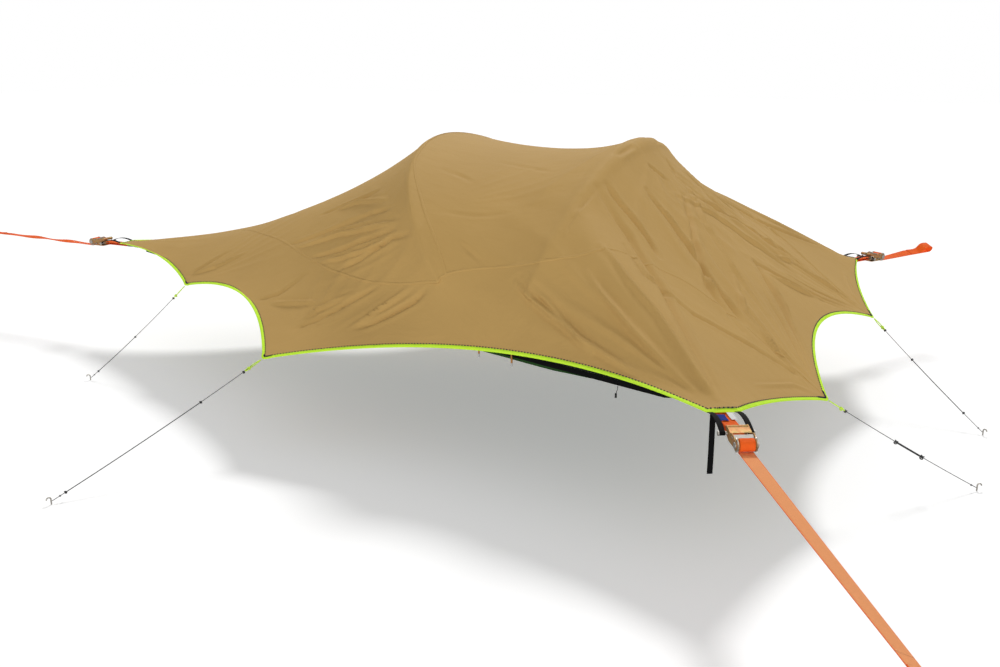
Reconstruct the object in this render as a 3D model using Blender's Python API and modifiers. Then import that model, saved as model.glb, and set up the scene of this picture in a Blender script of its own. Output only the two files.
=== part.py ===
"""Tree tent for two: a triangular floor slung between three trees, under a rain fly.

Three webbing straps with ratchets pull the corners of a triangular floor apart. Two pole
hoops stand on the long edges and lift an insect net and a rain fly, whose free edges are
held down by six guy lines and ground pegs. Everything is in metres with +Z up. The origin
is the middle of the eye at the end of the apex strap, +X runs along the axis of symmetry
from the apex (the feet) to the head side.
"""
import math

import bmesh
import bpy
import numpy as np
from mathutils import Matrix, Vector

# Clearances
GAP = 0.0003
CUT_OVERRUN = 0.002

# Floor triangle, ring to ring
TENT_LENGTH = 4.0
TENT_WIDTH = 2.75
CORNER_SETBACK = 0.13
EDGE_SAG = 0.018
HEAD_EDGE_SAG = 0.045
HEAD_EDGE_BOW = 0.1
FLOOR_SAG = 0.06
FLOOR_THICKNESS = 0.0015
HEM_HEIGHT = 0.02
FLOOR_CORNER_CLEARANCE = 0.008
FLOOR_CELLS = 10
EDGE_BAND_HEIGHT = 0.02
EDGE_BAND_THICKNESS = 0.002

# Pole hoops: where each stands on the long edge and where its crown is, along the tent
FOOT_HOOP_BASE_SHARE = 0.725
FOOT_HOOP_CROWN_SHARE = 0.556
FOOT_HOOP_HEIGHT = 0.742
HEAD_HOOP_BASE_SHARE = 0.77
HEAD_HOOP_CROWN_SHARE = 0.8075
HEAD_HOOP_HEIGHT = 0.726
POLE_RADIUS = 0.0045
POLE_TIP_LENGTH = 0.06
POLE_SEGMENTS = 40

# Rain fly: tie points as shares of the floor's length and half width
FORE_TIE_ALONG_SHARE = 0.225
FORE_TIE_OUT_SHARE = 0.393
FORE_TIE_DROP = 0.05
AFT_TIE_ALONG_SHARE = 0.4785
AFT_TIE_OUT_SHARE = 0.858
AFT_TIE_DROP = 0.15
HEAD_TIE_BEYOND = 0.262
HEAD_TIE_OUT_SHARE = 0.509
HEAD_TIE_DROP = 0.135
FLY_CORNER_REACH = 0.055
FLY_CORNER_WIDTH = 0.11
FLY_CORNER_RISE = 0.016
FLY_THICKNESS = 0.0015
FLY_POLE_CLEARANCE = 0.012
FORE_EDGE_INWARD = 0.055
FORE_EDGE_RISE = 0.03
SIDE_NOTCH_INWARD = 0.12
SIDE_NOTCH_RISE = 0.10
AFT_EDGE_INWARD = 0.19
AFT_EDGE_RISE = 0.08
HEAD_EDGE_INWARD = 0.03
HEAD_EDGE_RISE = 0.008
HEAD_NOTCH_INWARD = 0.155
HEAD_NOTCH_RISE = 0.118
APEX_TENSION_SHARE = 1.0
FORE_TENSION_SHARE = 0.22
HOOP_TENSION_SHARE = 1.1
REAR_TENSION_SHARE = 0.45
RIDGE_SAG = 0.02
TRIM_RADIUS = 0.0045

# Cells of the fly: apex, fore tie, aft tie, foot hoop, head hoop, head corner
APEX_CELLS = 8
FORE_CELLS = 5
NOTCH_CELLS = 7
AFT_CELLS = 5
HOOP_CELLS = 4
REAR_CELLS = 5
HEAD_EDGE_CELLS = 4
HEAD_NOTCH_CELLS = 10
HOOP_FREE_CELLS = 3
RIDGE_CELLS = 6
HOOP_CONTACT_ANGLE = math.radians(72)

# Insect net
NET_START_SHARE = 0.3
NET_THICKNESS = 0.0015
NET_POLE_CLEARANCE = 0.03
NET_FORE_CELLS = 4
NET_HOOP_CELLS = 3
NET_REAR_CELLS = 3
NET_HEAD_CELLS = 8
NET_FREE_CELLS = 2
NET_CORNER_CUT = 0.12
NET_FOOT_CLEARANCE = 0.004
NET_CONTACT_ANGLE = math.radians(55)

# Corner rings and webbing
RING_HALF_LENGTH = 0.021
RING_HALF_WIDTH = 0.038
RING_BEND_RADIUS = 0.012
RING_WIRE_RADIUS = 0.004
WEBBING_WIDTH = 0.05
WEBBING_THICKNESS = 0.0022

# Ratchet buckles
BOLT_REACH = 0.215
BOLT_RADIUS = 0.005
BOLT_SEAT_RADIUS = 0.005
BOLT_HEAD_RADIUS = 0.0085
BOLT_HEAD_LENGTH = 0.004
SPINDLE_SPACING = 0.105
SPINDLE_RADIUS = 0.011
SPINDLE_SLOT = 0.004
RUNNING_GAP = 0.0005
SIDE_GAP = 0.0015
FRAME_PLATE = 0.0025
FRAME_BOSS_RADIUS = 0.0205
FRAME_NOSE_RADIUS = 0.013
FRAME_TOP = 0.006
FRAME_BOTTOM = 0.0205
FRAME_BASE = 0.0025
FRAME_BASE_START = 0.045
WHEEL_RADIUS = 0.024
WHEEL_ROOT = 0.0205
WHEEL_THICKNESS = 0.003
WHEEL_TEETH = 13
SPINDLE_END = 0.003
HANDLE_PLATE = 0.0022
HANDLE_BOSS_RADIUS = 0.016
HANDLE_ARM_HALF = 0.008
HANDLE_HUMP = 0.017
HANDLE_HUMP_LENGTH = 0.05
HANDLE_LENGTH = 0.104
HANDLE_GRIP_RADIUS = 0.0065
HANDLE_WEB_START = 0.058
HANDLE_WEB_END = 0.09
HANDLE_WEB_THICKNESS = 0.0022
HANDLE_LIFT = math.radians(12)
PAWL_THICKNESS = 0.004
PAWL_START = 0.0245
PAWL_LENGTH = 0.017
PAWL_TRAVEL = 0.006
PAWL_EAR_WIDTH = 0.008
LOCK_PAWL_RELIEF = 0.001
DRIVE_PAWL_ANGLE = math.radians(28)
LOCK_PAWL_ANGLE = math.radians(-12)
ROLL_INNER = 0.0113
ROLL_OUTER = 0.0225
ROLL_STEPS = 40

# Tree straps, from the ring to the middle of the end eye
APEX_STRAP_REACH = 1.3
NEAR_STRAP_REACH = 1.64
FAR_STRAP_REACH = 0.78
NEAR_STRAP_TWIST = math.radians(-25)
FAR_STRAP_TWIST = math.radians(25)
EYE_LENGTH = 0.07
EYE_HEIGHT = 0.034
EYE_LAP = 0.08
STRAP_STEPS = 14

# Fly straps at the ratchet and the loose tail at the near corner
FLY_STRAP_WIDTH = 0.02
FLY_STRAP_BULGE = 0.03
TAIL_LENGTH = 0.21
TAIL_WIDTH = 0.02
TAIL_THICKNESS = 0.002

# Ground pegs and guy lines
GROUND_DROP = 0.55
PEG_RADIUS = 0.003
PEG_DEPTH = 0.15
PEG_HEAD = 0.022
PEG_HOOK_RADIUS = 0.009
GUY_RADIUS = 0.0015
GUY_STEPS = 12

ARC_STEPS = 8
NEAR_HEADING = math.radians(-60)
FAR_HEADING = math.radians(60)
APEX_HEADING = math.radians(180)

# Guy routes from the fly's tie points to the pegs, on the near side, from the apex ring
FORE_GUY = [(0.894, -0.545, -0.057), (0.690, -0.699, -0.305), (0.482, -0.864, -0.536)]
AFT_GUY = [(1.910, -1.189, -0.154), (1.735, -1.634, -0.355), (1.563, -2.077, -0.536)]
HEAD_GUY = [(4.2686, -0.6956, -0.14), (4.545, -0.521, -0.345), (4.822, -0.347, -0.536)]


def material(name, colour, roughness, metallic=0.0):
    made = bpy.data.materials.new(name)
    made.use_nodes = True
    shader = made.node_tree.nodes["Principled BSDF"]
    shader.inputs["Base Color"].default_value = (*colour, 1.0)
    shader.inputs["Roughness"].default_value = roughness
    shader.inputs["Metallic"].default_value = metallic
    return made


def new_object(name, mesh, finish, parent=None, collection=None):
    made = bpy.data.objects.new(name, mesh)
    (collection or PARTS).objects.link(made)
    if finish:
        made.data.materials.append(finish)
    if parent:
        made.parent = parent
    return made


def finished_mesh(working):
    """The mesh of a working object with its modifiers applied; the object is removed."""
    bpy.context.view_layer.update()
    evaluated = working.evaluated_get(bpy.context.evaluated_depsgraph_get())
    mesh = bpy.data.meshes.new_from_object(evaluated)
    bpy.data.objects.remove(working)
    return mesh


def mesh_of(name, points, faces):
    mesh = bpy.data.meshes.new(name)
    mesh.from_pydata([tuple(map(float, p)) for p in points], [], faces)
    work = bmesh.new()
    work.from_mesh(mesh)
    bmesh.ops.recalc_face_normals(work, faces=work.faces[:])
    work.to_mesh(mesh)
    work.free()
    return mesh


def extruded(name, outline, low, high):
    """An outline in the XZ plane, carried along Y from low to high."""
    count = len(outline)
    points = [(x, low, z) for x, z in outline] + [(x, high, z) for x, z in outline]
    faces = [tuple(range(count)), tuple(range(2 * count - 1, count - 1, -1))]
    faces += [(i, (i + 1) % count, (i + 1) % count + count, i + count) for i in range(count)]
    return mesh_of(name, points, faces)


def sleeve(name, outer, inner, low, high):
    """An extruded outline with a matching hole, both with the same count of points."""
    count = len(outer)
    points = [(x, y, z) for y in (low, high) for ring in (outer, inner) for x, z in ring]
    faces = []
    for i in range(count):
        j = (i + 1) % count
        a, b, c, d = (k * count for k in range(4))
        faces += [(a + i, a + j, b + j, b + i), (c + i, d + i, d + j, c + j)]
        faces += [(a + i, c + i, c + j, a + j), (b + i, b + j, d + j, d + i)]
    return mesh_of(name, points, faces)


def circle(radius, steps, centre=(0.0, 0.0)):
    turn = [2 * math.pi * i / steps for i in range(steps)]
    return [(centre[0] + radius * math.cos(a), centre[1] + radius * math.sin(a)) for a in turn]


def combine(name, base, others, operation):
    """Apply one exact Boolean after another to a mesh and return the finished mesh."""
    working = new_object(name, base, None, collection=CUTTERS)
    helpers = []
    for other in others:
        helper = new_object(name + "_helper", other, None, collection=CUTTERS)
        helper.hide_render = True
        helper.display_type = "WIRE"
        step = working.modifiers.new("step", "BOOLEAN")
        step.operation = operation
        step.solver = "EXACT"
        step.object = helper
        helpers.append(helper)
    mesh = finished_mesh(working)
    for helper in helpers:
        bpy.data.objects.remove(helper)
    return mesh


def block(name, low, high):
    """A box between two corners, from the unit cube."""
    work = bmesh.new()
    bmesh.ops.create_cube(work, size=1.0)
    middle = (Vector(low) + Vector(high)) / 2
    size = Vector(high) - Vector(low)
    bmesh.ops.scale(work, vec=size, verts=work.verts)
    bmesh.ops.translate(work, vec=middle, verts=work.verts)
    mesh = bpy.data.meshes.new(name)
    work.to_mesh(mesh)
    work.free()
    return mesh


def rod(name, radius, low, high, centre=(0.0, 0.0), steps=24):
    """A round bar along Y."""
    return extruded(name, circle(radius, steps, centre), low, high)


def turned_about_y(mesh, angle):
    mesh.transform(Matrix.Rotation(angle, 4, "Y"))
    return mesh


def unit(vectors):
    return vectors / np.linalg.norm(vectors, axis=-1, keepdims=True)


def band(name, path, across, width, thickness, closed=False):
    """A flat band along a path. Each section is the path point plus or minus half the width
    along the across vector and half the thickness along the path's normal."""
    path = np.asarray(path, float)
    across = np.broadcast_to(np.asarray(across, float), path.shape)
    if closed:
        before, after = np.roll(path, 1, 0), np.roll(path, -1, 0)
    else:
        before = np.vstack([2 * path[0] - path[1], path[:-1]])
        after = np.vstack([path[1:], 2 * path[-1] - path[-2]])
    entering, leaving = unit(path - before), unit(after - path)
    tangent = unit(entering + leaving)
    normal = unit(np.cross(tangent, across))
    mitre = np.maximum(np.sum(tangent * leaving, axis=1, keepdims=True), 0.5)
    lift = normal * (thickness / 2) / mitre
    side = across * (width / 2)
    rings = np.stack([path - side - lift, path + side - lift, path + side + lift, path - side + lift], 1)
    count = len(path)
    last = count if closed else count - 1
    faces = []
    for i in range(last):
        a, b = 4 * i, 4 * ((i + 1) % count)
        faces += [(a + k, a + (k + 1) % 4, b + (k + 1) % 4, b + k) for k in range(4)]
    if not closed:
        end = 4 * (count - 1)
        faces += [(0, 1, 2, 3), (end + 3, end + 2, end + 1, end)]
    return mesh_of(name, rings.reshape(-1, 3), faces)


def tube(name, points, radius, finish, parent=None, closed=False, resolution=2):
    """A round bar or line along a path, as a poly curve with a bevel and filled caps."""
    curve = bpy.data.curves.new(name, "CURVE")
    curve.dimensions = "3D"
    curve.bevel_depth = radius
    curve.bevel_resolution = resolution
    curve.use_fill_caps = True
    spline = curve.splines.new("POLY")
    spline.points.add(len(points) - 1)
    for target, point in zip(spline.points, points):
        target.co = (*map(float, point), 1.0)
    spline.use_cyclic_u = closed
    return new_object(name, curve, finish, parent)


def arc_points(centre, radius, start, end, steps=ARC_STEPS):
    """Points of an arc in the XZ plane, as pairs."""
    angles = np.linspace(start, end, steps + 1)
    return [(centre[0] + radius * math.cos(a), centre[1] + radius * math.sin(a)) for a in angles]


def upright(pairs, y=0.0):
    return [(x, y, z) for x, z in pairs]


def half_width(x):
    """Half the floor triangle's width at a distance from the apex ring."""
    return TENT_WIDTH / 2 * x / TENT_LENGTH


def corner_frame():
    """Outward and sideways directions of the near head corner's strap, and its ring."""
    out = np.array([math.cos(NEAR_HEADING), math.sin(NEAR_HEADING), 0.0])
    side = np.array([-out[1], out[0], 0.0])
    ring = np.array([TENT_LENGTH, -TENT_WIDTH / 2, 0.0])
    return ring, out, side


MIRROR = np.array([1.0, -1.0, 1.0])


def edge_arc(start, end, inward, rise, shares):
    """A slack edge between two points: the chord plus a parabola pulled inward and up."""
    share = np.asarray(shares)[:, None]
    chord = end - start
    side = unit(np.array([-chord[1], chord[0], 0.0]))
    pull = side * inward + np.array([0.0, 0.0, rise])
    return start + chord * share + 4 * share * (1 - share) * pull


def even(cells):
    return np.linspace(0.0, 1.0, cells + 1)


def membrane(near, head, held, across_shares):
    """A stretched sheet on a grid. Every free point is the mean of its neighbours, weighted by
    the tension along, which is one, and across, which is given for each row. The outline and
    the grid places in held stay where they are."""
    rows, columns = len(near), len(head)
    share = np.linspace(0.0, 1.0, columns)[None, :, None]
    grid = near[:, None] * (1 - share) + (near * MIRROR)[:, None] * share
    grid[-1] = head
    fixed = np.zeros((rows, columns), bool)
    fixed[[0, -1]] = True
    fixed[:, [0, -1]] = True
    for place, point in held.items():
        grid[place] = point
        fixed[place] = True
    free = np.argwhere(~fixed)
    index = np.full((rows, columns), -1)
    index[~fixed] = np.arange(len(free))
    matrix = np.zeros((len(free), len(free)))
    right = np.zeros((len(free), 3))
    for k, (i, j) in enumerate(free):
        across = across_shares[i]
        for di, dj, weight in ((1, 0, 1.0), (-1, 0, 1.0), (0, 1, across), (0, -1, across)):
            matrix[k, k] += weight
            if fixed[i + di, j + dj]:
                right[k] += weight * grid[i + di, j + dj]
            else:
                matrix[k, index[i + di, j + dj]] -= weight
    grid[~fixed] = np.linalg.solve(matrix, right)
    return grid


def held_over(row, column, points):
    """Grid places of a row, from a column on, with the points that hold them."""
    return {(row, column + k): point for k, point in enumerate(points)}


def ridge(row, start, end):
    """The taut line from a hoop's shoulder to a head corner, one column on for each row."""
    share = even(REAR_CELLS)[1:-1, None]
    points = start + (end - start) * share - np.array([0.0, 0.0, RIDGE_SAG]) * 4 * share * (1 - share)
    places = [(row + 1 + k, RIDGE_CELLS - 1 - k) for k in range(len(points))]
    return dict(zip(places, points))


def hoop_points(base_share, crown_share, height, angles, offset=0.0):
    """A leaning half ellipse from long edge to long edge, moved out by an offset."""
    base = TENT_LENGTH * base_share
    lean = TENT_LENGTH * crown_share - base
    slant = math.hypot(TENT_LENGTH, TENT_WIDTH / 2) / TENT_LENGTH
    half = half_width(base) + (EDGE_BAND_THICKNESS / 2 + GAP + POLE_RADIUS) * slant
    across = (half + offset) * np.sin(angles)
    up = (height + offset) * np.cos(angles)
    return np.stack([base + lean * up / height, across, up], -1)


FOOT_HOOP = (FOOT_HOOP_BASE_SHARE, FOOT_HOOP_CROWN_SHARE, FOOT_HOOP_HEIGHT)
HEAD_HOOP = (HEAD_HOOP_BASE_SHARE, HEAD_HOOP_CROWN_SHARE, HEAD_HOOP_HEIGHT)


def fly_outline():
    """The near side edge from apex to head corner, and the head edge from corner to corner."""
    ring, out, side = corner_frame()
    rise = np.array([0.0, 0.0, FLY_CORNER_RISE])
    half = TENT_WIDTH / 2
    apex = np.array([-FLY_CORNER_REACH, -FLY_CORNER_WIDTH / 2, FLY_CORNER_RISE])
    fore = np.array([TENT_LENGTH * FORE_TIE_ALONG_SHARE, -half * FORE_TIE_OUT_SHARE, -FORE_TIE_DROP])
    aft = np.array([TENT_LENGTH * AFT_TIE_ALONG_SHARE, -half * AFT_TIE_OUT_SHARE, -AFT_TIE_DROP])
    tie = np.array([TENT_LENGTH + HEAD_TIE_BEYOND, -half * HEAD_TIE_OUT_SHARE, -HEAD_TIE_DROP])
    tip = ring + out * FLY_CORNER_REACH + rise
    first, second = tip - side * FLY_CORNER_WIDTH / 2, tip + side * FLY_CORNER_WIDTH / 2

    def share_at(base_share):
        return (TENT_LENGTH * base_share - aft[0]) / (first[0] - aft[0])

    foot, head = share_at(FOOT_HOOP_BASE_SHARE), share_at(HEAD_HOOP_BASE_SHARE)
    aft_shares = np.concatenate([foot * even(AFT_CELLS), foot + (head - foot) * even(HOOP_CELLS)[1:],
                                 head + (1 - head) * even(REAR_CELLS)[1:]])
    near = np.vstack([
        edge_arc(apex, fore, FORE_EDGE_INWARD, FORE_EDGE_RISE, even(FORE_CELLS)),
        edge_arc(fore, aft, SIDE_NOTCH_INWARD, SIDE_NOTCH_RISE, even(NOTCH_CELLS))[1:],
        edge_arc(aft, first, AFT_EDGE_INWARD, AFT_EDGE_RISE, aft_shares)[1:],
    ])
    corner = edge_arc(first, second, 0.0, 0.0, even(1))
    flank = edge_arc(second, tie, HEAD_EDGE_INWARD, HEAD_EDGE_RISE, even(HEAD_EDGE_CELLS))[1:]
    notch = edge_arc(tie, tie * MIRROR, HEAD_NOTCH_INWARD, HEAD_NOTCH_RISE, even(HEAD_NOTCH_CELLS))[1:]
    half_head = np.vstack([corner, flank])
    head_edge = np.vstack([half_head, notch, (half_head * MIRROR)[::-1][1:]])
    return near, head_edge


def fly_grid():
    near, head = fly_outline()
    columns = len(head)
    touching = columns - 2 * HOOP_FREE_CELLS
    angles = np.linspace(-HOOP_CONTACT_ANGLE, HOOP_CONTACT_ANGLE, touching)
    foot_row = FORE_CELLS + NOTCH_CELLS + AFT_CELLS
    head_row = foot_row + HOOP_CELLS
    held = {}
    for row, hoop in ((foot_row, FOOT_HOOP), (head_row, HEAD_HOOP)):
        touched = hoop_points(*hoop, angles, POLE_RADIUS + FLY_POLE_CLEARANCE)
        held.update(held_over(row, HOOP_FREE_CELLS, touched))
    held.update(ridge(head_row, held[head_row, RIDGE_CELLS], head[1]))
    mirrored_places = {(row, columns - 1 - column): point * MIRROR for (row, column), point in held.items()}
    across = np.full(len(near), REAR_TENSION_SHARE)
    across[:head_row + 1] = HOOP_TENSION_SHARE
    across[:foot_row] = FORE_TENSION_SHARE
    across[:APEX_CELLS] = APEX_TENSION_SHARE
    grid = membrane(near, head, mirrored_places | held, across)
    for row in range(1, FORE_CELLS):
        width = np.interp(grid[row, :, 0], near[:, 0], near[:, 1]) * (1 - 2 * even(columns - 1))
        grid[row, :, 1] += (width - grid[row, :, 1]) * (1 - row / FORE_CELLS)
    return grid


def corner_cut(ring, direction, point, out, setback):
    """Where a line from a point along a direction comes within the setback of a corner ring."""
    return point + direction * ((np.dot(ring - point, out) - setback) / np.dot(direction, out))


def edge_sag(x, low, high):
    """How far a long edge hangs below the rings between two places along the tent."""
    share = np.clip((x - low) / (high - low), 0.0, 1.0)
    return -EDGE_SAG * 4 * share * (1 - share)


def floor_outline(inset, setback, cells):
    """The floor's near long edge and its head edge, moved in by an inset and cut off at the
    corners by a setback from each ring. Both hang in the middle, the head edge also bows in."""
    ring, out, _ = corner_frame()
    along = unit(ring)
    square = np.array([-along[1], along[0], 0.0])
    start = square * inset
    apex = start + along * ((setback - start[0]) / along[0])
    first = corner_cut(ring, along, start, out, setback)
    long_edge = apex + (first - apex) * even(cells)[:, None]
    long_edge[:, 2] = edge_sag(long_edge[:, 0], apex[0], first[0])
    head_line = np.array([TENT_LENGTH, 0.0, 0.0])
    down = np.array([0.0, -1.0, 0.0])
    full = corner_cut(ring, down, head_line, out, CORNER_SETBACK)[1] * (1 - 2 * even(cells))
    belly = 1 - (full / full[0]) ** 2
    spots = full.copy()
    spots[0] = corner_cut(ring, down, head_line - np.array([inset, 0.0, 0.0]), out, setback)[1]
    spots[-1] = -spots[0]
    belly = np.interp(spots, full, belly)
    head = np.stack([TENT_LENGTH - inset - HEAD_EDGE_BOW * belly, spots, -HEAD_EDGE_SAG * belly], -1)
    return long_edge, head


def closed_path(long_edge, head):
    return np.vstack([long_edge, head, (long_edge * MIRROR)[::-1]])


def shell(name, grid, thickness, finish, offset, hem=0.0, hem_test=None):
    """A grid of points as one closed sheet with a thickness, with a turned down hem."""
    rows, columns, _ = grid.shape
    faces = [(i * columns + j, (i + 1) * columns + j, (i + 1) * columns + j + 1, i * columns + j + 1)
             for i in range(rows - 1) for j in range(columns - 1)]
    mesh = bpy.data.meshes.new(name)
    mesh.from_pydata([tuple(map(float, p)) for p in grid.reshape(-1, 3)], [], faces)
    if hem:
        work = bmesh.new()
        work.from_mesh(mesh)
        edges = [e for e in work.edges if e.is_boundary and hem_test(e)]
        made = bmesh.ops.extrude_edge_only(work, edges=edges)["geom"]
        lowered = [v for v in made if isinstance(v, bmesh.types.BMVert)]
        bmesh.ops.translate(work, vec=(0.0, 0.0, -hem), verts=lowered)
        work.to_mesh(mesh)
        work.free()
    made = new_object(name, mesh, finish)
    solid = made.modifiers.new("cloth", "SOLIDIFY")
    solid.thickness = thickness
    solid.offset = offset
    solid.use_even_offset = True
    return made


def outward_shift(grid_edge, inner_edge, distance):
    """Edge points moved out of the sheet, square to the edge, by a distance."""
    entering = unit(grid_edge - np.roll(grid_edge, 1, 0))
    leaving = np.roll(entering, -1, 0)
    tangent = unit(entering + leaving)
    away = grid_edge - inner_edge
    away -= np.sum(away * tangent, axis=1, keepdims=True) * tangent
    sharp = np.sum(entering * leaving, axis=1, keepdims=True)
    stretch = 1 / np.sqrt(np.clip((1 + sharp) / 2, 0.2, 1.0))
    return grid_edge + unit(away) * distance * stretch


def floor_grid():
    """The floor's outline as a stretched sheet that hangs in its middle."""
    inset = EDGE_BAND_THICKNESS / 2 + GAP
    long_edge, head = floor_outline(inset, CORNER_SETBACK + FLOOR_CORNER_CLEARANCE, FLOOR_CELLS)
    head_edge = np.vstack([long_edge[-1], head, long_edge[-1] * MIRROR])
    grid = membrane(long_edge, head_edge, {}, np.ones(len(long_edge)))
    rows = np.sin(np.pi * even(len(long_edge) - 1))[:, None]
    columns = np.sin(np.pi * even(len(head_edge) - 1))[None, :]
    grid[:, :, 2] -= FLOOR_SAG * rows * columns
    return grid


def net_grid():
    """The insect net: its hem stands on the edge band and on the floor, the hoops hold it up
    from outside."""
    lift = EDGE_BAND_HEIGHT / 2 + GAP + NET_THICKNESS / 2
    long_edge, head = floor_outline(0.0, CORNER_SETBACK, FLOOR_CELLS)
    start = TENT_LENGTH * NET_START_SHARE
    base_foot, base_head = TENT_LENGTH * FOOT_HOOP_BASE_SHARE, TENT_LENGTH * HEAD_HOOP_BASE_SHARE
    end = long_edge[-1, 0] - NET_CORNER_CUT
    stations = np.concatenate([start + (base_foot - start) * even(NET_FORE_CELLS),
                               base_foot + (base_head - base_foot) * even(NET_HOOP_CELLS)[1:],
                               base_head + (end - base_head) * even(NET_REAR_CELLS)[1:]])
    near = np.stack([np.interp(stations, long_edge[:, 0], long_edge[:, k]) for k in range(3)], -1)
    low = head[0, 1] + NET_CORNER_CUT
    spots = low * (1 - 2 * even(NET_HEAD_CELLS))
    inner = np.stack([np.interp(spots, head[:, 1], head[:, k]) for k in range(3)], -1)
    head_edge = np.vstack([near[-1], inner, near[-1] * MIRROR])
    near[:, 2] += lift
    head_edge[:, 2] += lift
    touching = len(head_edge) - 2 * NET_FREE_CELLS
    angles = np.linspace(-NET_CONTACT_ANGLE, NET_CONTACT_ANGLE, touching)
    held = {}
    for row, hoop in ((NET_FORE_CELLS, FOOT_HOOP), (NET_FORE_CELLS + NET_HOOP_CELLS, HEAD_HOOP)):
        touched = hoop_points(*hoop, angles, -POLE_RADIUS - NET_POLE_CLEARANCE)
        held.update(held_over(row, NET_FREE_CELLS, touched))
    floor = floor_grid()
    row = int(np.argmin(np.abs(floor[:, 0, 0] - near[0, 0])))
    hollow = np.interp(near[0, 1] * (1 - 2 * even(len(head_edge) - 1)), floor[row, :, 1], floor[row, :, 2])
    drop = np.minimum(hollow - hollow[0] + NET_FOOT_CLEARANCE, 0.0)
    front = np.linspace(near[0], near[0] * MIRROR, len(head_edge))
    front[:, 2] += drop
    held.update(held_over(0, 1, front[1:-1]))
    return membrane(near, head_edge, held, np.ones(len(near)))


def build_floor():
    setback = CORNER_SETBACK + FLOOR_CORNER_CLEARANCE
    ring, out, _ = corner_frame()
    corners = ((np.zeros(3), np.array([-1.0, 0.0, 0.0])), (ring, out), (ring * MIRROR, out * MIRROR))

    def away_from_corners(edge):
        middle = np.array((edge.verts[0].co + edge.verts[1].co) / 2)
        return all(np.dot(at - middle, -way) < -setback - GAP for at, way in corners)

    sheet = shell("floor_sheet", floor_grid(), FLOOR_THICKNESS, FLOOR_CLOTH, -1.0, HEM_HEIGHT, away_from_corners)
    sheet.parent = TENT

    path = closed_path(*floor_outline(0.0, CORNER_SETBACK, FLOOR_CELLS))
    mesh = band("floor_edge_band", path, (0.0, 0.0, 1.0), EDGE_BAND_HEIGHT, EDGE_BAND_THICKNESS, True)
    new_object("floor_edge_band", mesh, BLACK_WEBBING, TENT)


def build_hoops():
    for name, hoop in (("foot_pole", FOOT_HOOP), ("head_pole", HEAD_HOOP)):
        points = hoop_points(*hoop, np.linspace(-math.pi / 2, math.pi / 2, POLE_SEGMENTS + 1))
        tip = np.array([0.0, 0.0, POLE_TIP_LENGTH])
        points = np.vstack([points[0] - tip, points, points[-1] - tip])
        tube(name, points, POLE_RADIUS, POLE_METAL, TENT, resolution=1)


def build_net():
    made = shell("insect_net", net_grid(), NET_THICKNESS, NET_CLOTH, 0.0)
    made.parent = TENT


def build_fly():
    grid = fly_grid()
    sheet = shell("rain_fly", grid, FLY_THICKNESS, FLY_CLOTH, 0.0)
    sheet.parent = TENT
    across = range(APEX_TRIM_STEP, grid.shape[1] - 1, APEX_TRIM_STEP)
    edge = np.vstack([grid[:, 0], grid[-1, 1:-1], grid[::-1, -1], [grid[0, -1 - j] for j in across]])
    inner = np.vstack([grid[:, 1], grid[-2, 1:-1], grid[::-1, -2], [grid[1, -1 - j] for j in across]])
    for corner, inside in ((0, grid[1, 1]), (len(grid) - 1, grid[-2, 1])):
        inner[corner] = inside
    far = len(grid) + grid.shape[1] - 2
    inner[far] = grid[-2, -2]
    inner[far + len(grid) - 1] = grid[1, -2]
    path = outward_shift(edge, inner, TRIM_RADIUS + 2 * GAP)
    tube("fly_edge_trim", path, TRIM_RADIUS, TRIM_CORD, TENT, closed=True, resolution=1)


def ring_path():
    """A rounded rectangle in the XY plane."""
    x, y = RING_HALF_LENGTH - RING_BEND_RADIUS, RING_HALF_WIDTH - RING_BEND_RADIUS
    centres = ((x, y, 0.0), (-x, y, 0.5), (-x, -y, 1.0), (x, -y, 1.5))
    points = []
    for cx, cy, turn in centres:
        start = math.pi * turn
        points += [(px, py, 0.0) for px, py in arc_points((cx, cy), RING_BEND_RADIUS, start, start + math.pi / 2, 4)]
    return points


def build_corner(place, rig):
    """The steel ring and the webbing that ties it to the floor's edge band and the ratchet."""
    tube(place + "_ring", ring_path(), RING_WIRE_RADIUS, STEEL, rig, closed=True)
    wrap = RING_WIRE_RADIUS + GAP + WEBBING_THICKNESS / 2
    half = EDGE_BAND_HEIGHT / 2 + GAP + WEBBING_THICKNESS / 2
    deep = EDGE_BAND_THICKNESS / 2 + GAP + WEBBING_THICKNESS / 2
    path = arc_points((-RING_HALF_LENGTH, 0.0), wrap, -math.pi / 2, math.pi / 2)
    path += [(-CORNER_SETBACK + deep, half), (-CORNER_SETBACK - deep, half)]
    path += [(-CORNER_SETBACK - deep, -half), (-CORNER_SETBACK + deep, -half)]
    mesh = band(place + "_corner_loop", upright(path), (0, 1, 0), WEBBING_WIDTH, WEBBING_THICKNESS, True)
    new_object(place + "_corner_loop", mesh, BLACK_WEBBING, rig)

    seat = BOLT_RADIUS + GAP + WEBBING_THICKNESS / 2
    path = arc_points((RING_HALF_LENGTH, 0.0), wrap, math.pi / 2, 3 * math.pi / 2)
    path += arc_points((BOLT_REACH, 0.0), seat, -math.pi / 2, math.pi / 2)
    mesh = band(place + "_ratchet_loop", upright(path), (0, 1, 0), WEBBING_WIDTH, WEBBING_THICKNESS, True)
    new_object(place + "_ratchet_loop", mesh, ORANGE_WEBBING, rig)


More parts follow.
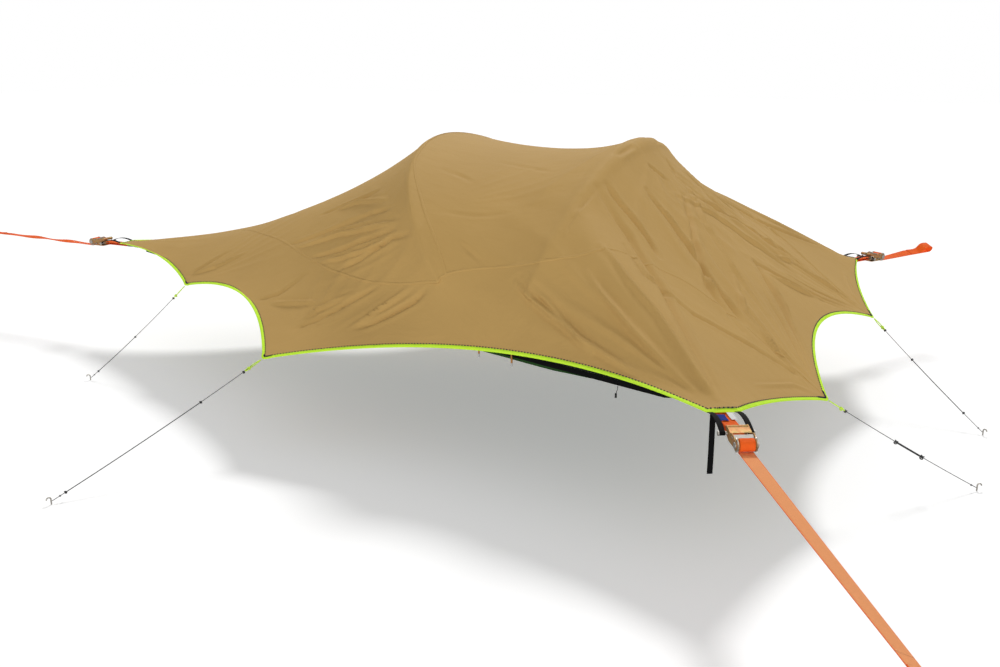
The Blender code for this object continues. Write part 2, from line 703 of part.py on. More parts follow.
def frame_outline():
    """Side view of the ratchet frame: nose round the bolt, boss round the spindle."""
    nose = arc_points((-SPINDLE_SPACING, 0.0), FRAME_NOSE_RADIUS, math.pi / 2, 3 * math.pi / 2)
    top = math.pi - math.asin(FRAME_TOP / FRAME_BOSS_RADIUS)
    boss = arc_points((0.0, 0.0), FRAME_BOSS_RADIUS, -math.pi / 2, top, 2 * ARC_STEPS)
    slope = FRAME_BOTTOM - FRAME_NOSE_RADIUS
    return nose + [(-SPINDLE_SPACING + 2 * slope, -FRAME_BOTTOM)] + boss + [(-SPINDLE_SPACING + 2 * slope, FRAME_TOP)]


def pawl_block(name, start, length, half, angle, clearance=0.0):
    """A flat bar across the ratchet, pointing at the spindle at an angle above the frame."""
    thick = PAWL_THICKNESS / 2 + clearance
    mesh = block(name, (-start - length, -half, -thick), (-start, half, thick))
    return turned_about_y(mesh, angle)


def frame_mesh():
    low, high = -SPINDLE_SPACING - 2 * FRAME_NOSE_RADIUS, 2 * FRAME_BOSS_RADIUS
    solid = extruded("frame", frame_outline(), -FRAME_OUTER, FRAME_OUTER)
    channel = block("channel", (low, -FRAME_INNER, FRAME_BASE - FRAME_BOTTOM), (high, FRAME_INNER, high))
    mouth = block("mouth", (-FRAME_BASE_START, -FRAME_INNER, -high), (high, FRAME_INNER, high))
    spindle_hole = rod("hole", SPINDLE_RADIUS + RUNNING_GAP, -2 * FRAME_OUTER, 2 * FRAME_OUTER)
    bolt_hole = rod("hole", BOLT_RADIUS + GAP, -2 * FRAME_OUTER, 2 * FRAME_OUTER, (-SPINDLE_SPACING, 0.0))
    slot = pawl_block("slot", PAWL_START - RUNNING_GAP, PAWL_LENGTH + PAWL_TRAVEL + 2 * RUNNING_GAP,
                      2 * FRAME_OUTER, LOCK_PAWL_ANGLE, GAP)
    return combine("frame", solid, [channel, mouth, spindle_hole, bolt_hole, slot], "DIFFERENCE")


def wheel_outline():
    """Saw teeth: each rises from the root to the tip over most of its pitch."""
    pitch = 2 * math.pi / WHEEL_TEETH
    points = []
    for tooth in range(WHEEL_TEETH):
        for radius, share in ((WHEEL_ROOT, 0.0), (WHEEL_RADIUS, 0.9)):
            angle = pitch * (tooth + share)
            points.append((radius * math.cos(angle), radius * math.sin(angle)))
    return points


def spindle_mesh():
    shaft = rod("shaft", SPINDLE_RADIUS, -SPINDLE_HALF, SPINDLE_HALF)
    wheels = [extruded("wheel", wheel_outline(), WHEEL_INNER, WHEEL_INNER + WHEEL_THICKNESS),
              extruded("wheel", wheel_outline(), -WHEEL_INNER - WHEEL_THICKNESS, -WHEEL_INNER)]
    whole = combine("spindle", shaft, wheels, "UNION")
    reach = 2 * SPINDLE_RADIUS
    slot = block("slot", (-reach, -FRAME_INNER, -SPINDLE_SLOT / 2), (reach, FRAME_INNER, SPINDLE_SLOT / 2))
    return combine("spindle", whole, [slot], "DIFFERENCE")


def roll_mesh():
    """The wound strap: a spiral whose outer turn ends in a step where the strap leaves."""
    outer, inner = [], []
    for step in range(ROLL_STEPS):
        angle = -math.pi / 2 - 2 * math.pi * step / ROLL_STEPS
        radius = ROLL_OUTER - WEBBING_THICKNESS * step / ROLL_STEPS
        outer.append((radius * math.cos(angle), radius * math.sin(angle)))
        inner.append((ROLL_INNER * math.cos(angle), ROLL_INNER * math.sin(angle)))
    return sleeve("roll", outer, inner, -WEBBING_WIDTH / 2, WEBBING_WIDTH / 2)


def handle_mesh():
    """Two cheeks on the spindle's ends, a grip bar and a web plate across them."""
    cheek = arc_points((-HANDLE_LENGTH, 0.0), HANDLE_ARM_HALF, math.pi / 2, 3 * math.pi / 2)
    cheek += [(-HANDLE_HUMP_LENGTH, -HANDLE_ARM_HALF)]
    cheek += arc_points((0.0, 0.0), HANDLE_BOSS_RADIUS, -math.pi / 2, math.pi / 2)
    cheek += [(-HANDLE_HUMP_LENGTH + HANDLE_ARM_HALF, HANDLE_HUMP), (-HANDLE_HUMP_LENGTH - HANDLE_ARM_HALF, HANDLE_ARM_HALF)]
    left = extruded("cheek", cheek, -HANDLE_OUTER, -HANDLE_INNER)
    right = extruded("cheek", cheek, HANDLE_INNER, HANDLE_OUTER)
    grip = rod("grip", HANDLE_GRIP_RADIUS, -HANDLE_OUTER + GAP, HANDLE_OUTER - GAP, (-HANDLE_LENGTH, 0.0))
    top = HANDLE_ARM_HALF - GAP
    web = block("web", (-HANDLE_WEB_END, GAP - HANDLE_OUTER, top - HANDLE_WEB_THICKNESS),
                (-HANDLE_WEB_START, HANDLE_OUTER - GAP, top))
    whole = combine("handle", left, [grip, web, right], "UNION")
    hole = rod("hole", SPINDLE_RADIUS + RUNNING_GAP, -2 * HANDLE_OUTER, 2 * HANDLE_OUTER)
    slot = pawl_block("slot", EAR_START - RUNNING_GAP, PAWL_EAR_WIDTH + PAWL_TRAVEL + 2 * RUNNING_GAP,
                      2 * HANDLE_OUTER, DRIVE_PAWL_ANGLE - HANDLE_LIFT, GAP)
    return turned_about_y(combine("handle", whole, [hole, slot], "DIFFERENCE"), HANDLE_LIFT)


def drive_pawl_mesh():
    bar = pawl_block("bar", PAWL_START, PAWL_LENGTH, HANDLE_INNER - GAP, DRIVE_PAWL_ANGLE)
    ears = pawl_block("ears", EAR_START, PAWL_EAR_WIDTH, HANDLE_OUTER + HANDLE_PLATE, DRIVE_PAWL_ANGLE)
    return combine("drive_pawl", bar, [ears], "UNION")


def lock_pawl_mesh():
    half = WHEEL_INNER + WHEEL_THICKNESS - LOCK_PAWL_RELIEF
    return pawl_block("lock_pawl", PAWL_START, PAWL_LENGTH, half, LOCK_PAWL_ANGLE)


def bolt_mesh():
    """The bolt that carries the loop strap, with a seat for a fly strap at each end."""
    seat_end = STRAP_SIDE + FLY_STRAP_WIDTH / 2 + GAP
    shaft = rod("bolt", BOLT_RADIUS, -seat_end - BOLT_HEAD_LENGTH, seat_end + BOLT_HEAD_LENGTH, steps=16)
    heads = [rod("head", BOLT_HEAD_RADIUS, seat_end, seat_end + BOLT_HEAD_LENGTH, steps=6),
             rod("head", BOLT_HEAD_RADIUS, -seat_end - BOLT_HEAD_LENGTH, -seat_end, steps=6)]
    return combine("bolt", shaft, heads, "UNION")


def tree_strap(name, reach, twist, rig):
    """The strap from under the roll to its sewn end eye, slowly twisted on the way."""
    half = EYE_HEIGHT / 2
    start_drop = -(ROLL_OUTER + GAP + WEBBING_THICKNESS / 2)
    flat_from = reach - EYE_LENGTH / 2 - 2 * EYE_HEIGHT - EYE_LAP
    run = np.linspace(SPINDLE_REACH, flat_from, STRAP_STEPS)
    drop = start_drop + (-half - start_drop) * (run - SPINDLE_REACH) / (flat_from - SPINDLE_REACH)
    lap = -half + WEBBING_THICKNESS + GAP
    eye_start, eye_end = reach - EYE_LENGTH / 2, reach + EYE_LENGTH / 2 - half
    pairs = list(zip(run, drop)) + [(eye_start, -half)]
    pairs += arc_points((eye_end, 0.0), half, -math.pi / 2, math.pi / 2, 2 * ARC_STEPS)
    pairs += [(eye_start, half), (eye_start - EYE_HEIGHT, lap), (eye_start - EYE_HEIGHT - EYE_LAP, lap)]
    pairs = np.array(pairs)
    turn = twist * np.clip((pairs[:, 0] - SPINDLE_REACH) / (flat_from - SPINDLE_REACH), 0.0, 1.0)
    across = np.stack([np.zeros(len(pairs)), np.cos(turn), np.sin(turn)], -1)
    path = np.stack([pairs[:, 0], -np.sin(turn) * pairs[:, 1], np.cos(turn) * pairs[:, 1]], -1)
    mesh = band(name, path, across, WEBBING_WIDTH, WEBBING_THICKNESS)
    new_object(name, mesh, ORANGE_WEBBING, rig)


def fly_strap_path():
    """From the fly's corner, bulging up, down to the bolt and a short way back under it."""
    wrap = BOLT_SEAT_RADIUS + GAP + WEBBING_THICKNESS / 2
    start = np.array([FLY_CORNER_REACH + 2 * TRIM_RADIUS + 2 * GAP, FLY_CORNER_RISE])
    bend = math.radians(60)
    end = np.array([BOLT_REACH + wrap * math.cos(bend), wrap * math.sin(bend)])
    middle = (start + end) / 2 + np.array([0.0, FLY_STRAP_BULGE])
    share = even(ARC_STEPS)[:, None]
    curve = start * (1 - share) ** 2 + 2 * middle * share * (1 - share) + end * share ** 2
    pairs = [tuple(p) for p in curve]
    pairs += arc_points((BOLT_REACH, 0.0), wrap, bend, -math.pi / 2)[1:]
    pairs += [(BOLT_REACH - FLY_STRAP_WIDTH, -wrap)]
    return pairs


def build_fly_straps(place, rig):
    pairs = fly_strap_path()
    for side, sign in (("left", -1), ("right", 1)):
        name = f"{place}_fly_strap_{side}"
        mesh = band(name, upright(pairs, sign * STRAP_SIDE), (0, 1, 0), FLY_STRAP_WIDTH, WEBBING_THICKNESS)
        new_object(name, mesh, BLACK_WEBBING, rig)


def build_tail(rig):
    """The loose end of the near left fly strap, hanging straight down."""
    (before, low), (x, z), (after, high) = fly_strap_path()[1:4]
    slope = (high - low) / (after - before)
    top = z - WEBBING_THICKNESS / 2 * math.hypot(1.0, slope) - TAIL_THICKNESS / 2 * slope - GAP
    path = [(x, -STRAP_SIDE, top), (x, -STRAP_SIDE, top - TAIL_LENGTH / 2), (x, -STRAP_SIDE, top - TAIL_LENGTH)]
    mesh = band("near_strap_tail", path, (0, 1, 0), TAIL_WIDTH, TAIL_THICKNESS)
    new_object("near_strap_tail", mesh, BLACK_WEBBING, rig)


def smooth_route(points, steps):
    """A quadratic curve through three chosen points."""
    first, middle, last = (np.array(p) for p in points)
    share = even(steps)[:, None]
    control = 2 * middle - (first + last) / 2
    return first * (1 - share) ** 2 + 2 * control * share * (1 - share) + last * share ** 2


def build_guy(name, route):
    line = smooth_route(route, GUY_STEPS)
    tube(name + "_guy", line, GUY_RADIUS, GUY_CORD, TENT, resolution=1)
    last = unit(line[-1] - line[-2])
    way = unit(last * np.array([1.0, 1.0, 0.0]))
    foot = line[-1] + way * (PEG_RADIUS + GAP - GUY_RADIUS * last[2])
    ground = -GROUND_DROP
    top = ground + PEG_HEAD
    points = [np.array([foot[0], foot[1], ground - PEG_DEPTH])]
    for along, up in arc_points((PEG_HOOK_RADIUS, 0.0), PEG_HOOK_RADIUS, math.pi, 0.0):
        points.append(np.array([foot[0] + way[0] * along, foot[1] + way[1] * along, top + up]))
    tube(name + "_peg", points, PEG_RADIUS, STEEL, TENT, resolution=1)


def rig(name, location, heading, parent):
    made = bpy.data.objects.new(name, None)
    PARTS.objects.link(made)
    made.location = location
    made.rotation_euler = (0.0, 0.0, heading)
    made.parent = parent
    return made


def build_ratchets(rigs):
    shapes = {
        "ratchet_frame": (frame_mesh(), BRASSED_STEEL),
        "loop_bolt": (bolt_mesh(), STEEL),
        "spindle": (spindle_mesh(), STEEL),
        "strap_roll": (roll_mesh(), ORANGE_WEBBING),
        "ratchet_handle": (handle_mesh(), BRASSED_STEEL),
        "drive_pawl": (drive_pawl_mesh(), STEEL),
        "lock_pawl": (lock_pawl_mesh(), STEEL),
    }
    for mesh, finish in shapes.values():
        mesh.materials.append(finish)
    for place, corner in rigs.items():
        for part, (mesh, _) in shapes.items():
            made = new_object(f"{place}_{part}", mesh, None, corner)
            shift = BOLT_REACH if part == "loop_bolt" else SPINDLE_REACH
            made.location = (shift, 0.0, 0.0)


def mirrored(route):
    return [(x, -y, z) for x, y, z in route]


# Widths across the ratchet, from its middle plane outwards
FRAME_INNER = WEBBING_WIDTH / 2 + SIDE_GAP
FRAME_OUTER = FRAME_INNER + FRAME_PLATE
WHEEL_INNER = FRAME_OUTER + RUNNING_GAP
HANDLE_INNER = WHEEL_INNER + WHEEL_THICKNESS + RUNNING_GAP
HANDLE_OUTER = HANDLE_INNER + HANDLE_PLATE
SPINDLE_HALF = HANDLE_OUTER + SPINDLE_END
STRAP_SIDE = HANDLE_OUTER + SIDE_GAP + FLY_STRAP_WIDTH / 2
SPINDLE_REACH = BOLT_REACH + SPINDLE_SPACING
EAR_START = PAWL_START + PAWL_LENGTH / 4
APEX_TRIM_STEP = 4

for leftover in list(bpy.data.objects):
    bpy.data.objects.remove(leftover)

PARTS = bpy.data.collections.new("tree_tent")
CUTTERS = bpy.data.collections.new("cutters")
bpy.context.scene.collection.children.link(PARTS)
bpy.context.scene.collection.children.link(CUTTERS)

FLY_CLOTH = material("fly_cloth", (0.41, 0.27, 0.11), 0.65)
TRIM_CORD = material("lime_trim", (0.38, 0.95, 0.06), 0.6)
FLOOR_CLOTH = material("floor_cloth", (0.03, 0.09, 0.02), 0.75)
NET_CLOTH = material("net_cloth", (0.012, 0.012, 0.012), 0.9)
BLACK_WEBBING = material("black_webbing", (0.01, 0.01, 0.01), 0.8)
ORANGE_WEBBING = material("orange_webbing", (1.0, 0.19, 0.035), 0.7)
POLE_METAL = material("pole_alloy", (0.35, 0.2, 0.07), 0.35, 1.0)
STEEL = material("steel", (0.55, 0.53, 0.5), 0.35, 1.0)
BRASSED_STEEL = material("yellow_zinc", (0.62, 0.47, 0.2), 0.35, 1.0)
GUY_CORD = material("guy_cord", (0.12, 0.12, 0.12), 0.8)

TENT = rig("tent_frame", (APEX_STRAP_REACH, 0.0, 0.0), 0.0, None)
HEAD_RING = (TENT_LENGTH, -TENT_WIDTH / 2, 0.0)
RIGS = {
    "apex": rig("apex_rig", (0.0, 0.0, 0.0), APEX_HEADING, TENT),
    "near": rig("near_rig", HEAD_RING, NEAR_HEADING, TENT),
    "far": rig("far_rig", (TENT_LENGTH, TENT_WIDTH / 2, 0.0), FAR_HEADING, TENT),
}

build_floor()
build_hoops()
build_net()
build_fly()
for corner_name, corner_rig in RIGS.items():
    build_corner(corner_name, corner_rig)
    build_fly_straps(corner_name, corner_rig)
build_ratchets(RIGS)
tree_strap("apex_tree_strap", APEX_STRAP_REACH, 0.0, RIGS["apex"])
tree_strap("near_tree_strap", NEAR_STRAP_REACH, NEAR_STRAP_TWIST, RIGS["near"])
tree_strap("far_tree_strap", FAR_STRAP_REACH, FAR_STRAP_TWIST, RIGS["far"])
build_tail(RIGS["near"])
for guy_name, guy_route in (("fore", FORE_GUY), ("aft", AFT_GUY), ("head", HEAD_GUY)):
    build_guy("near_" + guy_name, guy_route)
    build_guy("far_" + guy_name, mirrored(guy_route))
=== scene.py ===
"""Looks of the tree tent: cloth, webbing, cords, metal finishes, stage and camera.

Lengths are in metres. Shapes are worked out from the middle of the apex ring, with x along
the tent to its head side, y across to the far side and z up, and are moved to the frame's
origin when their mesh is made.
"""
import math

import bmesh
import bpy
import numpy as np
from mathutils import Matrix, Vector


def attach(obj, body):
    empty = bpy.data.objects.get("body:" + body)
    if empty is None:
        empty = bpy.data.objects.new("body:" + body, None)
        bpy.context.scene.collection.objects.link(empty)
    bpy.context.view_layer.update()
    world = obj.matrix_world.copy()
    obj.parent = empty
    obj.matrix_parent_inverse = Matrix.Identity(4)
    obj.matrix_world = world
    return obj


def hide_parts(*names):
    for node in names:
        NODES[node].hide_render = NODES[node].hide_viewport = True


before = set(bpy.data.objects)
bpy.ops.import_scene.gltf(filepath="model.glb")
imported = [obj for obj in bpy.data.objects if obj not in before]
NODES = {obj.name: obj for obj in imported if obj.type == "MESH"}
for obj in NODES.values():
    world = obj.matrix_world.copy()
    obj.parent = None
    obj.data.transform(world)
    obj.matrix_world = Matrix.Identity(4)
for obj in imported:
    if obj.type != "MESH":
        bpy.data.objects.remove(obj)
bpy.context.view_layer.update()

bl_info = {
    "name": "Tree tent",
    "version": (1, 0, 0),
    "blender": (4, 5, 0),
    "location": "View3D > Sidebar > Tree tent",
    "description": "Cloth, webbing, cords and finishes of a tent slung between three trees",
    "category": "Object",
}

CORNERS = ("apex", "near", "far")
HEADINGS = {"apex": math.pi, "near": math.radians(-60), "far": math.radians(60)}
MIRROR = np.array([1.0, -1.0, 1.0])
UP = np.array([0.0, 0.0, 1.0])
GAP = 0.0003

# The floor triangle, its slack edges and its hoops, as in the solids. A hoop is given by the
# shares of the length at which it stands and has its crown, and by its height.
LENGTH, WIDTH = 4.0, 2.75
APEX = np.array([1.3, 0.0, 0.0])
RINGS = {"apex": np.zeros(3), "near": np.array([LENGTH, -WIDTH / 2, 0.0]), "far": np.array([LENGTH, WIDTH / 2, 0.0])}
NEAR_OUT = np.array([math.cos(HEADINGS["near"]), math.sin(HEADINGS["near"]), 0.0])
SETBACK, EDGE_SAG, HEAD_SAG, HEAD_BOW, FLOOR_SAG = 0.13, 0.018, 0.045, 0.1, 0.06
BAND_HEIGHT, BAND_THICKNESS = 0.02, 0.002
FOOT_HOOP, HEAD_HOOP = (0.725, 0.556, 0.742), (0.77, 0.8075, 0.726)
POLE_RADIUS = 0.0045
NET_START, NET_CORNER, NET_DIP, NET_HELD = 0.3, 0.12, 0.045, 55
NET_FOOT_CELLS, NET_MIDDLE_CELLS, NET_HEAD_CELLS, NET_WIDE_CELLS = 32, 24, 24, 94
NET_INSIDE_POLES, FLY_OVER_POLES = 0.03, 0.012
TOGGLE_SHARE = 0.93

# Corner webbing and ratchets, as in the solids. The fly straps lie outside the strap's half
# width, its side gap, the frame, wheels and handle with their gaps, and one more side gap.
STRAP_WIDTH, NARROW, THICK = 0.05, 0.02, 0.0022
RING_HALF, RING_WIRE, BOLT_RADIUS, BOLT_REACH, SPINDLE_REACH = 0.021, 0.004, 0.005, 0.215, 0.32
STRAP_SIDE = STRAP_WIDTH / 2 + 0.0015 + 0.0025 + 0.0005 + 0.003 + 0.0005 + 0.0022 + 0.0015 + NARROW / 2
ROLL_INNER, ROLL_OUTER = 0.0113, 0.0225
EYE_HALF_HEIGHT, EYE_LENGTH, EYE_LAP = 0.017, 0.07, 0.08
TREE_STRAPS = (("apex", 1.3, 0.0), ("near", 1.64, -25.0), ("far", 0.78, 25.0))
STRAP_WAVES, STRAP_WAVE = 2.5, math.radians(9)

# The fly's near half: half its cut corners, their height, the ties, and how far each slack
# edge is pulled in and up
CORNER_HALF, CORNER_HEIGHT = 0.055, 0.016
FORE_TIE = np.array([LENGTH * 0.225, -WIDTH / 2 * 0.393, -0.05])
AFT_TIE = np.array([LENGTH * 0.4785, -WIDTH / 2 * 0.858, -0.15])
HEAD_TIE = np.array([LENGTH + 0.262, -WIDTH / 2 * 0.509, -0.135])
FORE_ARC, AFT_ARC, LONG_ARC = (0.055, 0.03), (0.12, 0.10), (0.19, 0.08)
FLANK_ARC, NOTCH_ARC, STRAIGHT = (0.03, 0.008), (0.155, 0.118), (0.0, 0.0)

# Grid lines of the fly: rows run from the apex to the head edge, columns from the near to
# the far long edge. These are the lines of the ties, of the hoops and of the taut lines.
FORE_ROW, AFT_ROW, FOOT_ROW, HEAD_ROW, LAST_ROW, LAST_COLUMN = 5, 12, 17, 21, 26, 20
TIE_COLUMN, FREE_COLUMNS, RIDGE_COLUMN, EVEN_ROW = 5, 3, 6, 8
FLY_HELD, RIDGE_SAG = 72, 0.02
SOLVE_STEPS, SOLVE_TURNS, SOLVED = 4, 1200, 1e-10
MIDDLE, PANEL_ROWS = 150, (160, 110, 160)
# Tension across the rows, against one along them: up to the given row, then beyond the last
TENSIONS, HEAD_TENSION = ((HEAD_ROW, 1.1), (FOOT_ROW, 0.22), (EVEN_ROW, 1.0)), 0.45
# Rounding of the taut lines: passes, width in cells, the share of the lost height given back,
# and how many rows beyond the head hoop it starts and its loss counts
ROUNDING_PASSES, ROUNDING_WIDTH, ROUNDING_LIFT, ROUNDING_FROM, LOSS_FROM = 45, 0.8, 0.8, 0.2, 1.0
# Behind the head hoop, a fan has its full height this many cells from a taut line, and this
# share of it on the line
FAN_CLEAR, FAN_KEPT = 1.3, 0.12
# Folds and fans fade out over so many cells at the edges, and at the apex
EDGE_FADE, APEX_FADE = 0.6, 1.5
# A fold ends this many half widths from its line, with the smallest cell's size in metres
FOLD_REACH, SMALLEST_CELL = 4, 0.1
# How deep a valley may be at a hoop, and how much deeper each cell away from it
HOOP_VALLEY, HOOP_EASE, HOOP_CLEAR = 0.007, 0.06, 0.12

# Routes of the guy lines on the near side: tie, middle, peg
GUYS = {
    "fore": [(0.894, -0.545, -0.057), (0.690, -0.699, -0.305), (0.482, -0.864, -0.536)],
    "aft": [(1.910, -1.189, -0.154), (1.735, -1.634, -0.355), (1.563, -2.077, -0.536)],
    "head": [(4.2686, -0.6956, -0.14), (4.545, -0.521, -0.345), (4.822, -0.347, -0.536)],
}

LOOP_REACH, LOOP_HALF = 0.075, 0.0066

# Where each guy's dark elastic part starts and ends, as shares of its length, and its radius
SLEEVES = {
    "near_fore": (0.50, 0.92, 0.0017), "far_fore": (0.50, 0.92, 0.0017),
    "near_aft": (0.28, 0.94, 0.0020), "far_aft": (0.28, 0.94, 0.0020),
    "near_head": (0.41, 0.60, 0.0038), "far_head": (0.33, 0.83, 0.0020),
}

# Lines that the pull of hoops, corners and ties draws in the near half of the fly, first
# sharp creases and then soft folds: height, half width, then (row, column) places. A height
# below zero is a valley.
CREASES = [
    (0.030, 0.110, [(21.07, 10.61), (20.84, 8.75), (20.63, 7.9), (20.38, 7.16), (20.17, 6.62), (20.07, 6.18),
         (19.94, 5.74)]),
]
FOLDS = [
    (0.0182, 0.021, [(21.97, 4.92), (22.31, 4.68), (22.94, 3.99), (23.67, 3.3), (24.49, 2.33), (25.12, 1.53),
         (25.68, 0.95)]),
    (0.0156, 0.019, [(21.98, 4.01), (22.6, 3.31), (23.35, 2.5), (24.36, 1.6), (25.21, 0.9)]),
    (0.0156, 0.019, [(20.25, 3.16), (21.05, 2.87), (21.51, 2.14), (22.16, 1.59), (22.84, 0.99)]),
    (0.0130, 0.019, [(20.51, 3.35), (21.35, 2.83), (21.79, 2.1), (22.36, 1.5), (23.36, 0.95), (24.3, 0.5)]),
    (-0.0286, 0.022, [(21.24, 7.21), (21.55, 7.0), (21.93, 6.83), (22.42, 6.48), (22.81, 6.08)]),
    (-0.0312, 0.023, [(21.81, 8.27), (22.36, 8.01), (23.02, 7.55), (23.53, 7.02), (23.92, 6.64),
         (24.29, 6.19), (24.54, 5.88)]),
    (0.0156, 0.021, [(22.63, 7.86), (23.31, 7.23), (23.95, 6.43)]),
    (-0.0156, 0.017, [(24.2, 10.05), (24.93, 9.13), (25.56, 7.88), (25.93, 6.43)]),
    (0.0156, 0.017, [(24.51, 10.03), (25.22, 8.73), (25.7, 7.33), (25.97, 6.0)]),
    (-0.0130, 0.017, [(25.19, 5.93), (25.53, 5.66), (25.89, 5.34)]),
    (0.0130, 0.017, [(25.6, 2.92), (25.67, 4.46), (25.9, 5.0)]),
    (-0.0036, 0.020, [(17.58, 7.17), (18.17, 6.94)]),
    (-0.0036, 0.020, [(17.87, 7.14), (18.4, 6.72)]),
    (-0.0045, 0.020, [(18.11, 4.32), (18.93, 3.59)]),
    (-0.0036, 0.020, [(17.7, 5.31), (18.59, 5.33), (19.53, 5.58)]),
    (-0.0036, 0.020, [(18.65, 8.12), (19.36, 7.86), (20.05, 7.48)]),
    (-0.0156, 0.018, [(10.44, 4.63), (11.85, 5.03), (13.02, 5.32), (14.19, 5.39), (15.13, 5.37)]),
    (0.0156, 0.017, [(10.97, 4.43), (13.06, 4.93), (15.12, 4.97), (16.34, 4.92)]),
    (-0.0156, 0.018, [(11.76, 3.69), (13.08, 4.01), (14.16, 4.35), (16.16, 4.72)]),
    (0.0156, 0.017, [(12.22, 3.45), (13.27, 3.68), (14.54, 4.04), (15.74, 4.37)]),
    (-0.0156, 0.019, [(11.87, 6.61), (13.35, 6.73), (15.23, 6.63)]),
    (0.0130, 0.018, [(12.48, 6.68), (14.0, 6.57), (15.74, 5.96)]),
    (-0.0130, 0.018, [(12.99, 5.45), (14.77, 5.56), (16.06, 5.5)]),
    (-0.0156, 0.018, [(13.16, 3.05), (14.3, 3.66), (15.74, 4.37), (16.69, 4.43)]),
    (-0.0130, 0.018, [(9.55, 0.6), (10.58, 1.44), (11.55, 2.7)]),
    (0.0130, 0.018, [(10.45, 0.93), (12.41, 1.49)]),
    (-0.0234, 0.021, [(16.62, 2.45), (16.2, 1.95), (15.12, 1.21), (14.19, 0.7)]),
    (0.0182, 0.019, [(16.02, 2.5), (14.83, 1.46), (13.93, 0.7)]),
    (-0.0182, 0.021, [(14.88, 2.49), (13.67, 1.63), (12.75, 0.88), (12.1, 0.5)]),
    (0.0156, 0.019, [(13.69, 1.99), (12.54, 1.22), (12.1, 0.7)]),
    (-0.0130, 0.018, [(4.96, 0.6), (5.82, 2.34), (7.06, 4.62)]),
    (0.0130, 0.018, [(5.1, 0.8), (6.38, 2.2), (8.02, 4.31)]),
    (-0.0208, 0.029, [(21.14, 6.88), (22.16, 6.07), (23.28, 4.72), (24.11, 3.45), (24.85, 2.35), (25.7, 1.1)]),
    (-0.0182, 0.018, [(24.18, 9.94), (24.85, 10.93), (25.54, 12.33), (25.92, 14.27)]),
    (0.0156, 0.017, [(24.06, 12.04), (24.5, 13.4), (25.22, 14.39), (25.79, 15.09)]),
    (-0.0156, 0.017, [(24.73, 11.44), (25.27, 12.39), (25.66, 13.63), (25.86, 14.71)]),
    (-0.0156, 0.018, [(22.26, 14.48), (22.97, 15.3), (23.97, 15.53), (24.89, 15.03), (25.77, 14.76)]),
    (-0.0182, 0.026, [(22.3, 10.2), (23.1, 12.0), (23.8, 13.7), (24.6, 14.6)]),
    (0.0156, 0.023, [(22.2, 9.4), (23.0, 10.6), (23.9, 11.6), (24.9, 12.6)]),
    (-0.0156, 0.017, [(21.04, 10.76), (21.02, 11.69)]),
    (-0.0156, 0.017, [(21.44, 10.73), (21.92, 10.39)]),
]
# Pull wrinkles that open from ties, corners and hoops in the near half: where they start and
# where the fan's middle points, as (row, column), its half opening in radians, wrinkles to a
# radian, reach in metres and steepness.
FANS = [
    ((26.0, 5.0), (22.4, 8.3), 0.70, 6.2, 0.80, 0.20),
    ((25.8, 0.7), (22.5, 3.4), 0.50, 5.6, 0.80, 0.17),
    ((12.0, 0.0), (14.5, 4.0), 0.85, 5.0, 0.60, 0.13),
    ((5.0, 0.0), (7.5, 4.0), 0.70, 6.0, 0.55, 0.12),
    ((17.3, 4.4), (13.5, 4.6), 0.75, 5.0, 0.50, 0.13),
    ((17.6, 5.6), (19.6, 7.4), 0.80, 5.0, 0.42, 0.10),
    ((21.2, 8.6), (23.6, 7.6), 0.75, 4.6, 0.55, 0.17),
    ((21.1, 9.8), (23.4, 12.4), 0.70, 4.6, 0.60, 0.14),
    ((0.4, 9.0), (4.0, 9.0), 0.60, 5.0, 0.60, 0.09),
]
FOOT_SEAM = [(17.53, 3.1), (17.5, 4.06), (17.37, 4.94), (17.23, 5.91), (17.12, 6.69), (17.04, 7.37),
     (17.05, 8.02), (17.02, 9.0)]
LONG_SEAM = [(6.47, 8.69), (8.36, 6.42), (9.78, 5.23), (11.02, 4.15), (12.35, 3.26), (13.26, 2.91), (14.19, 2.66),
             (15.04, 2.59), (16.2, 2.7), (17.53, 3.1), (19.84, 3.63), (21.08, 4.11), (21.84, 4.52), (22.49, 5.2),
             (23.31, 5.79), (24.01, 5.85), (24.61, 5.8), (25.23, 5.56), (25.66, 5.35), (25.95, 5.1)]


def unit(vectors):
    """Vectors divided by their lengths."""
    return vectors / np.linalg.norm(vectors, axis=-1, keepdims=True)


def even(cells):
    """Even shares from 0 to 1, one more than the cells."""
    return np.linspace(0.0, 1.0, cells + 1)


# Meshes

def grid_faces(rows, columns, wrap_rows, wrap_columns):
    """Corner indices of every cell, first for the points, then for the unwrapped UV grid."""
    down, over = rows if wrap_rows else rows - 1, columns if wrap_columns else columns - 1
    i, j = (a.ravel() for a in np.meshgrid(np.arange(down), np.arange(over), indexing="ij"))
    corners = [(i, j), (i + 1, j), (i + 1, j + 1), (i, j + 1)]
    points = np.stack([(a % rows) * columns + b % columns for a, b in corners], -1)
    spread = np.stack([a * (over + 1) + b for a, b in corners], -1)
    return points, spread


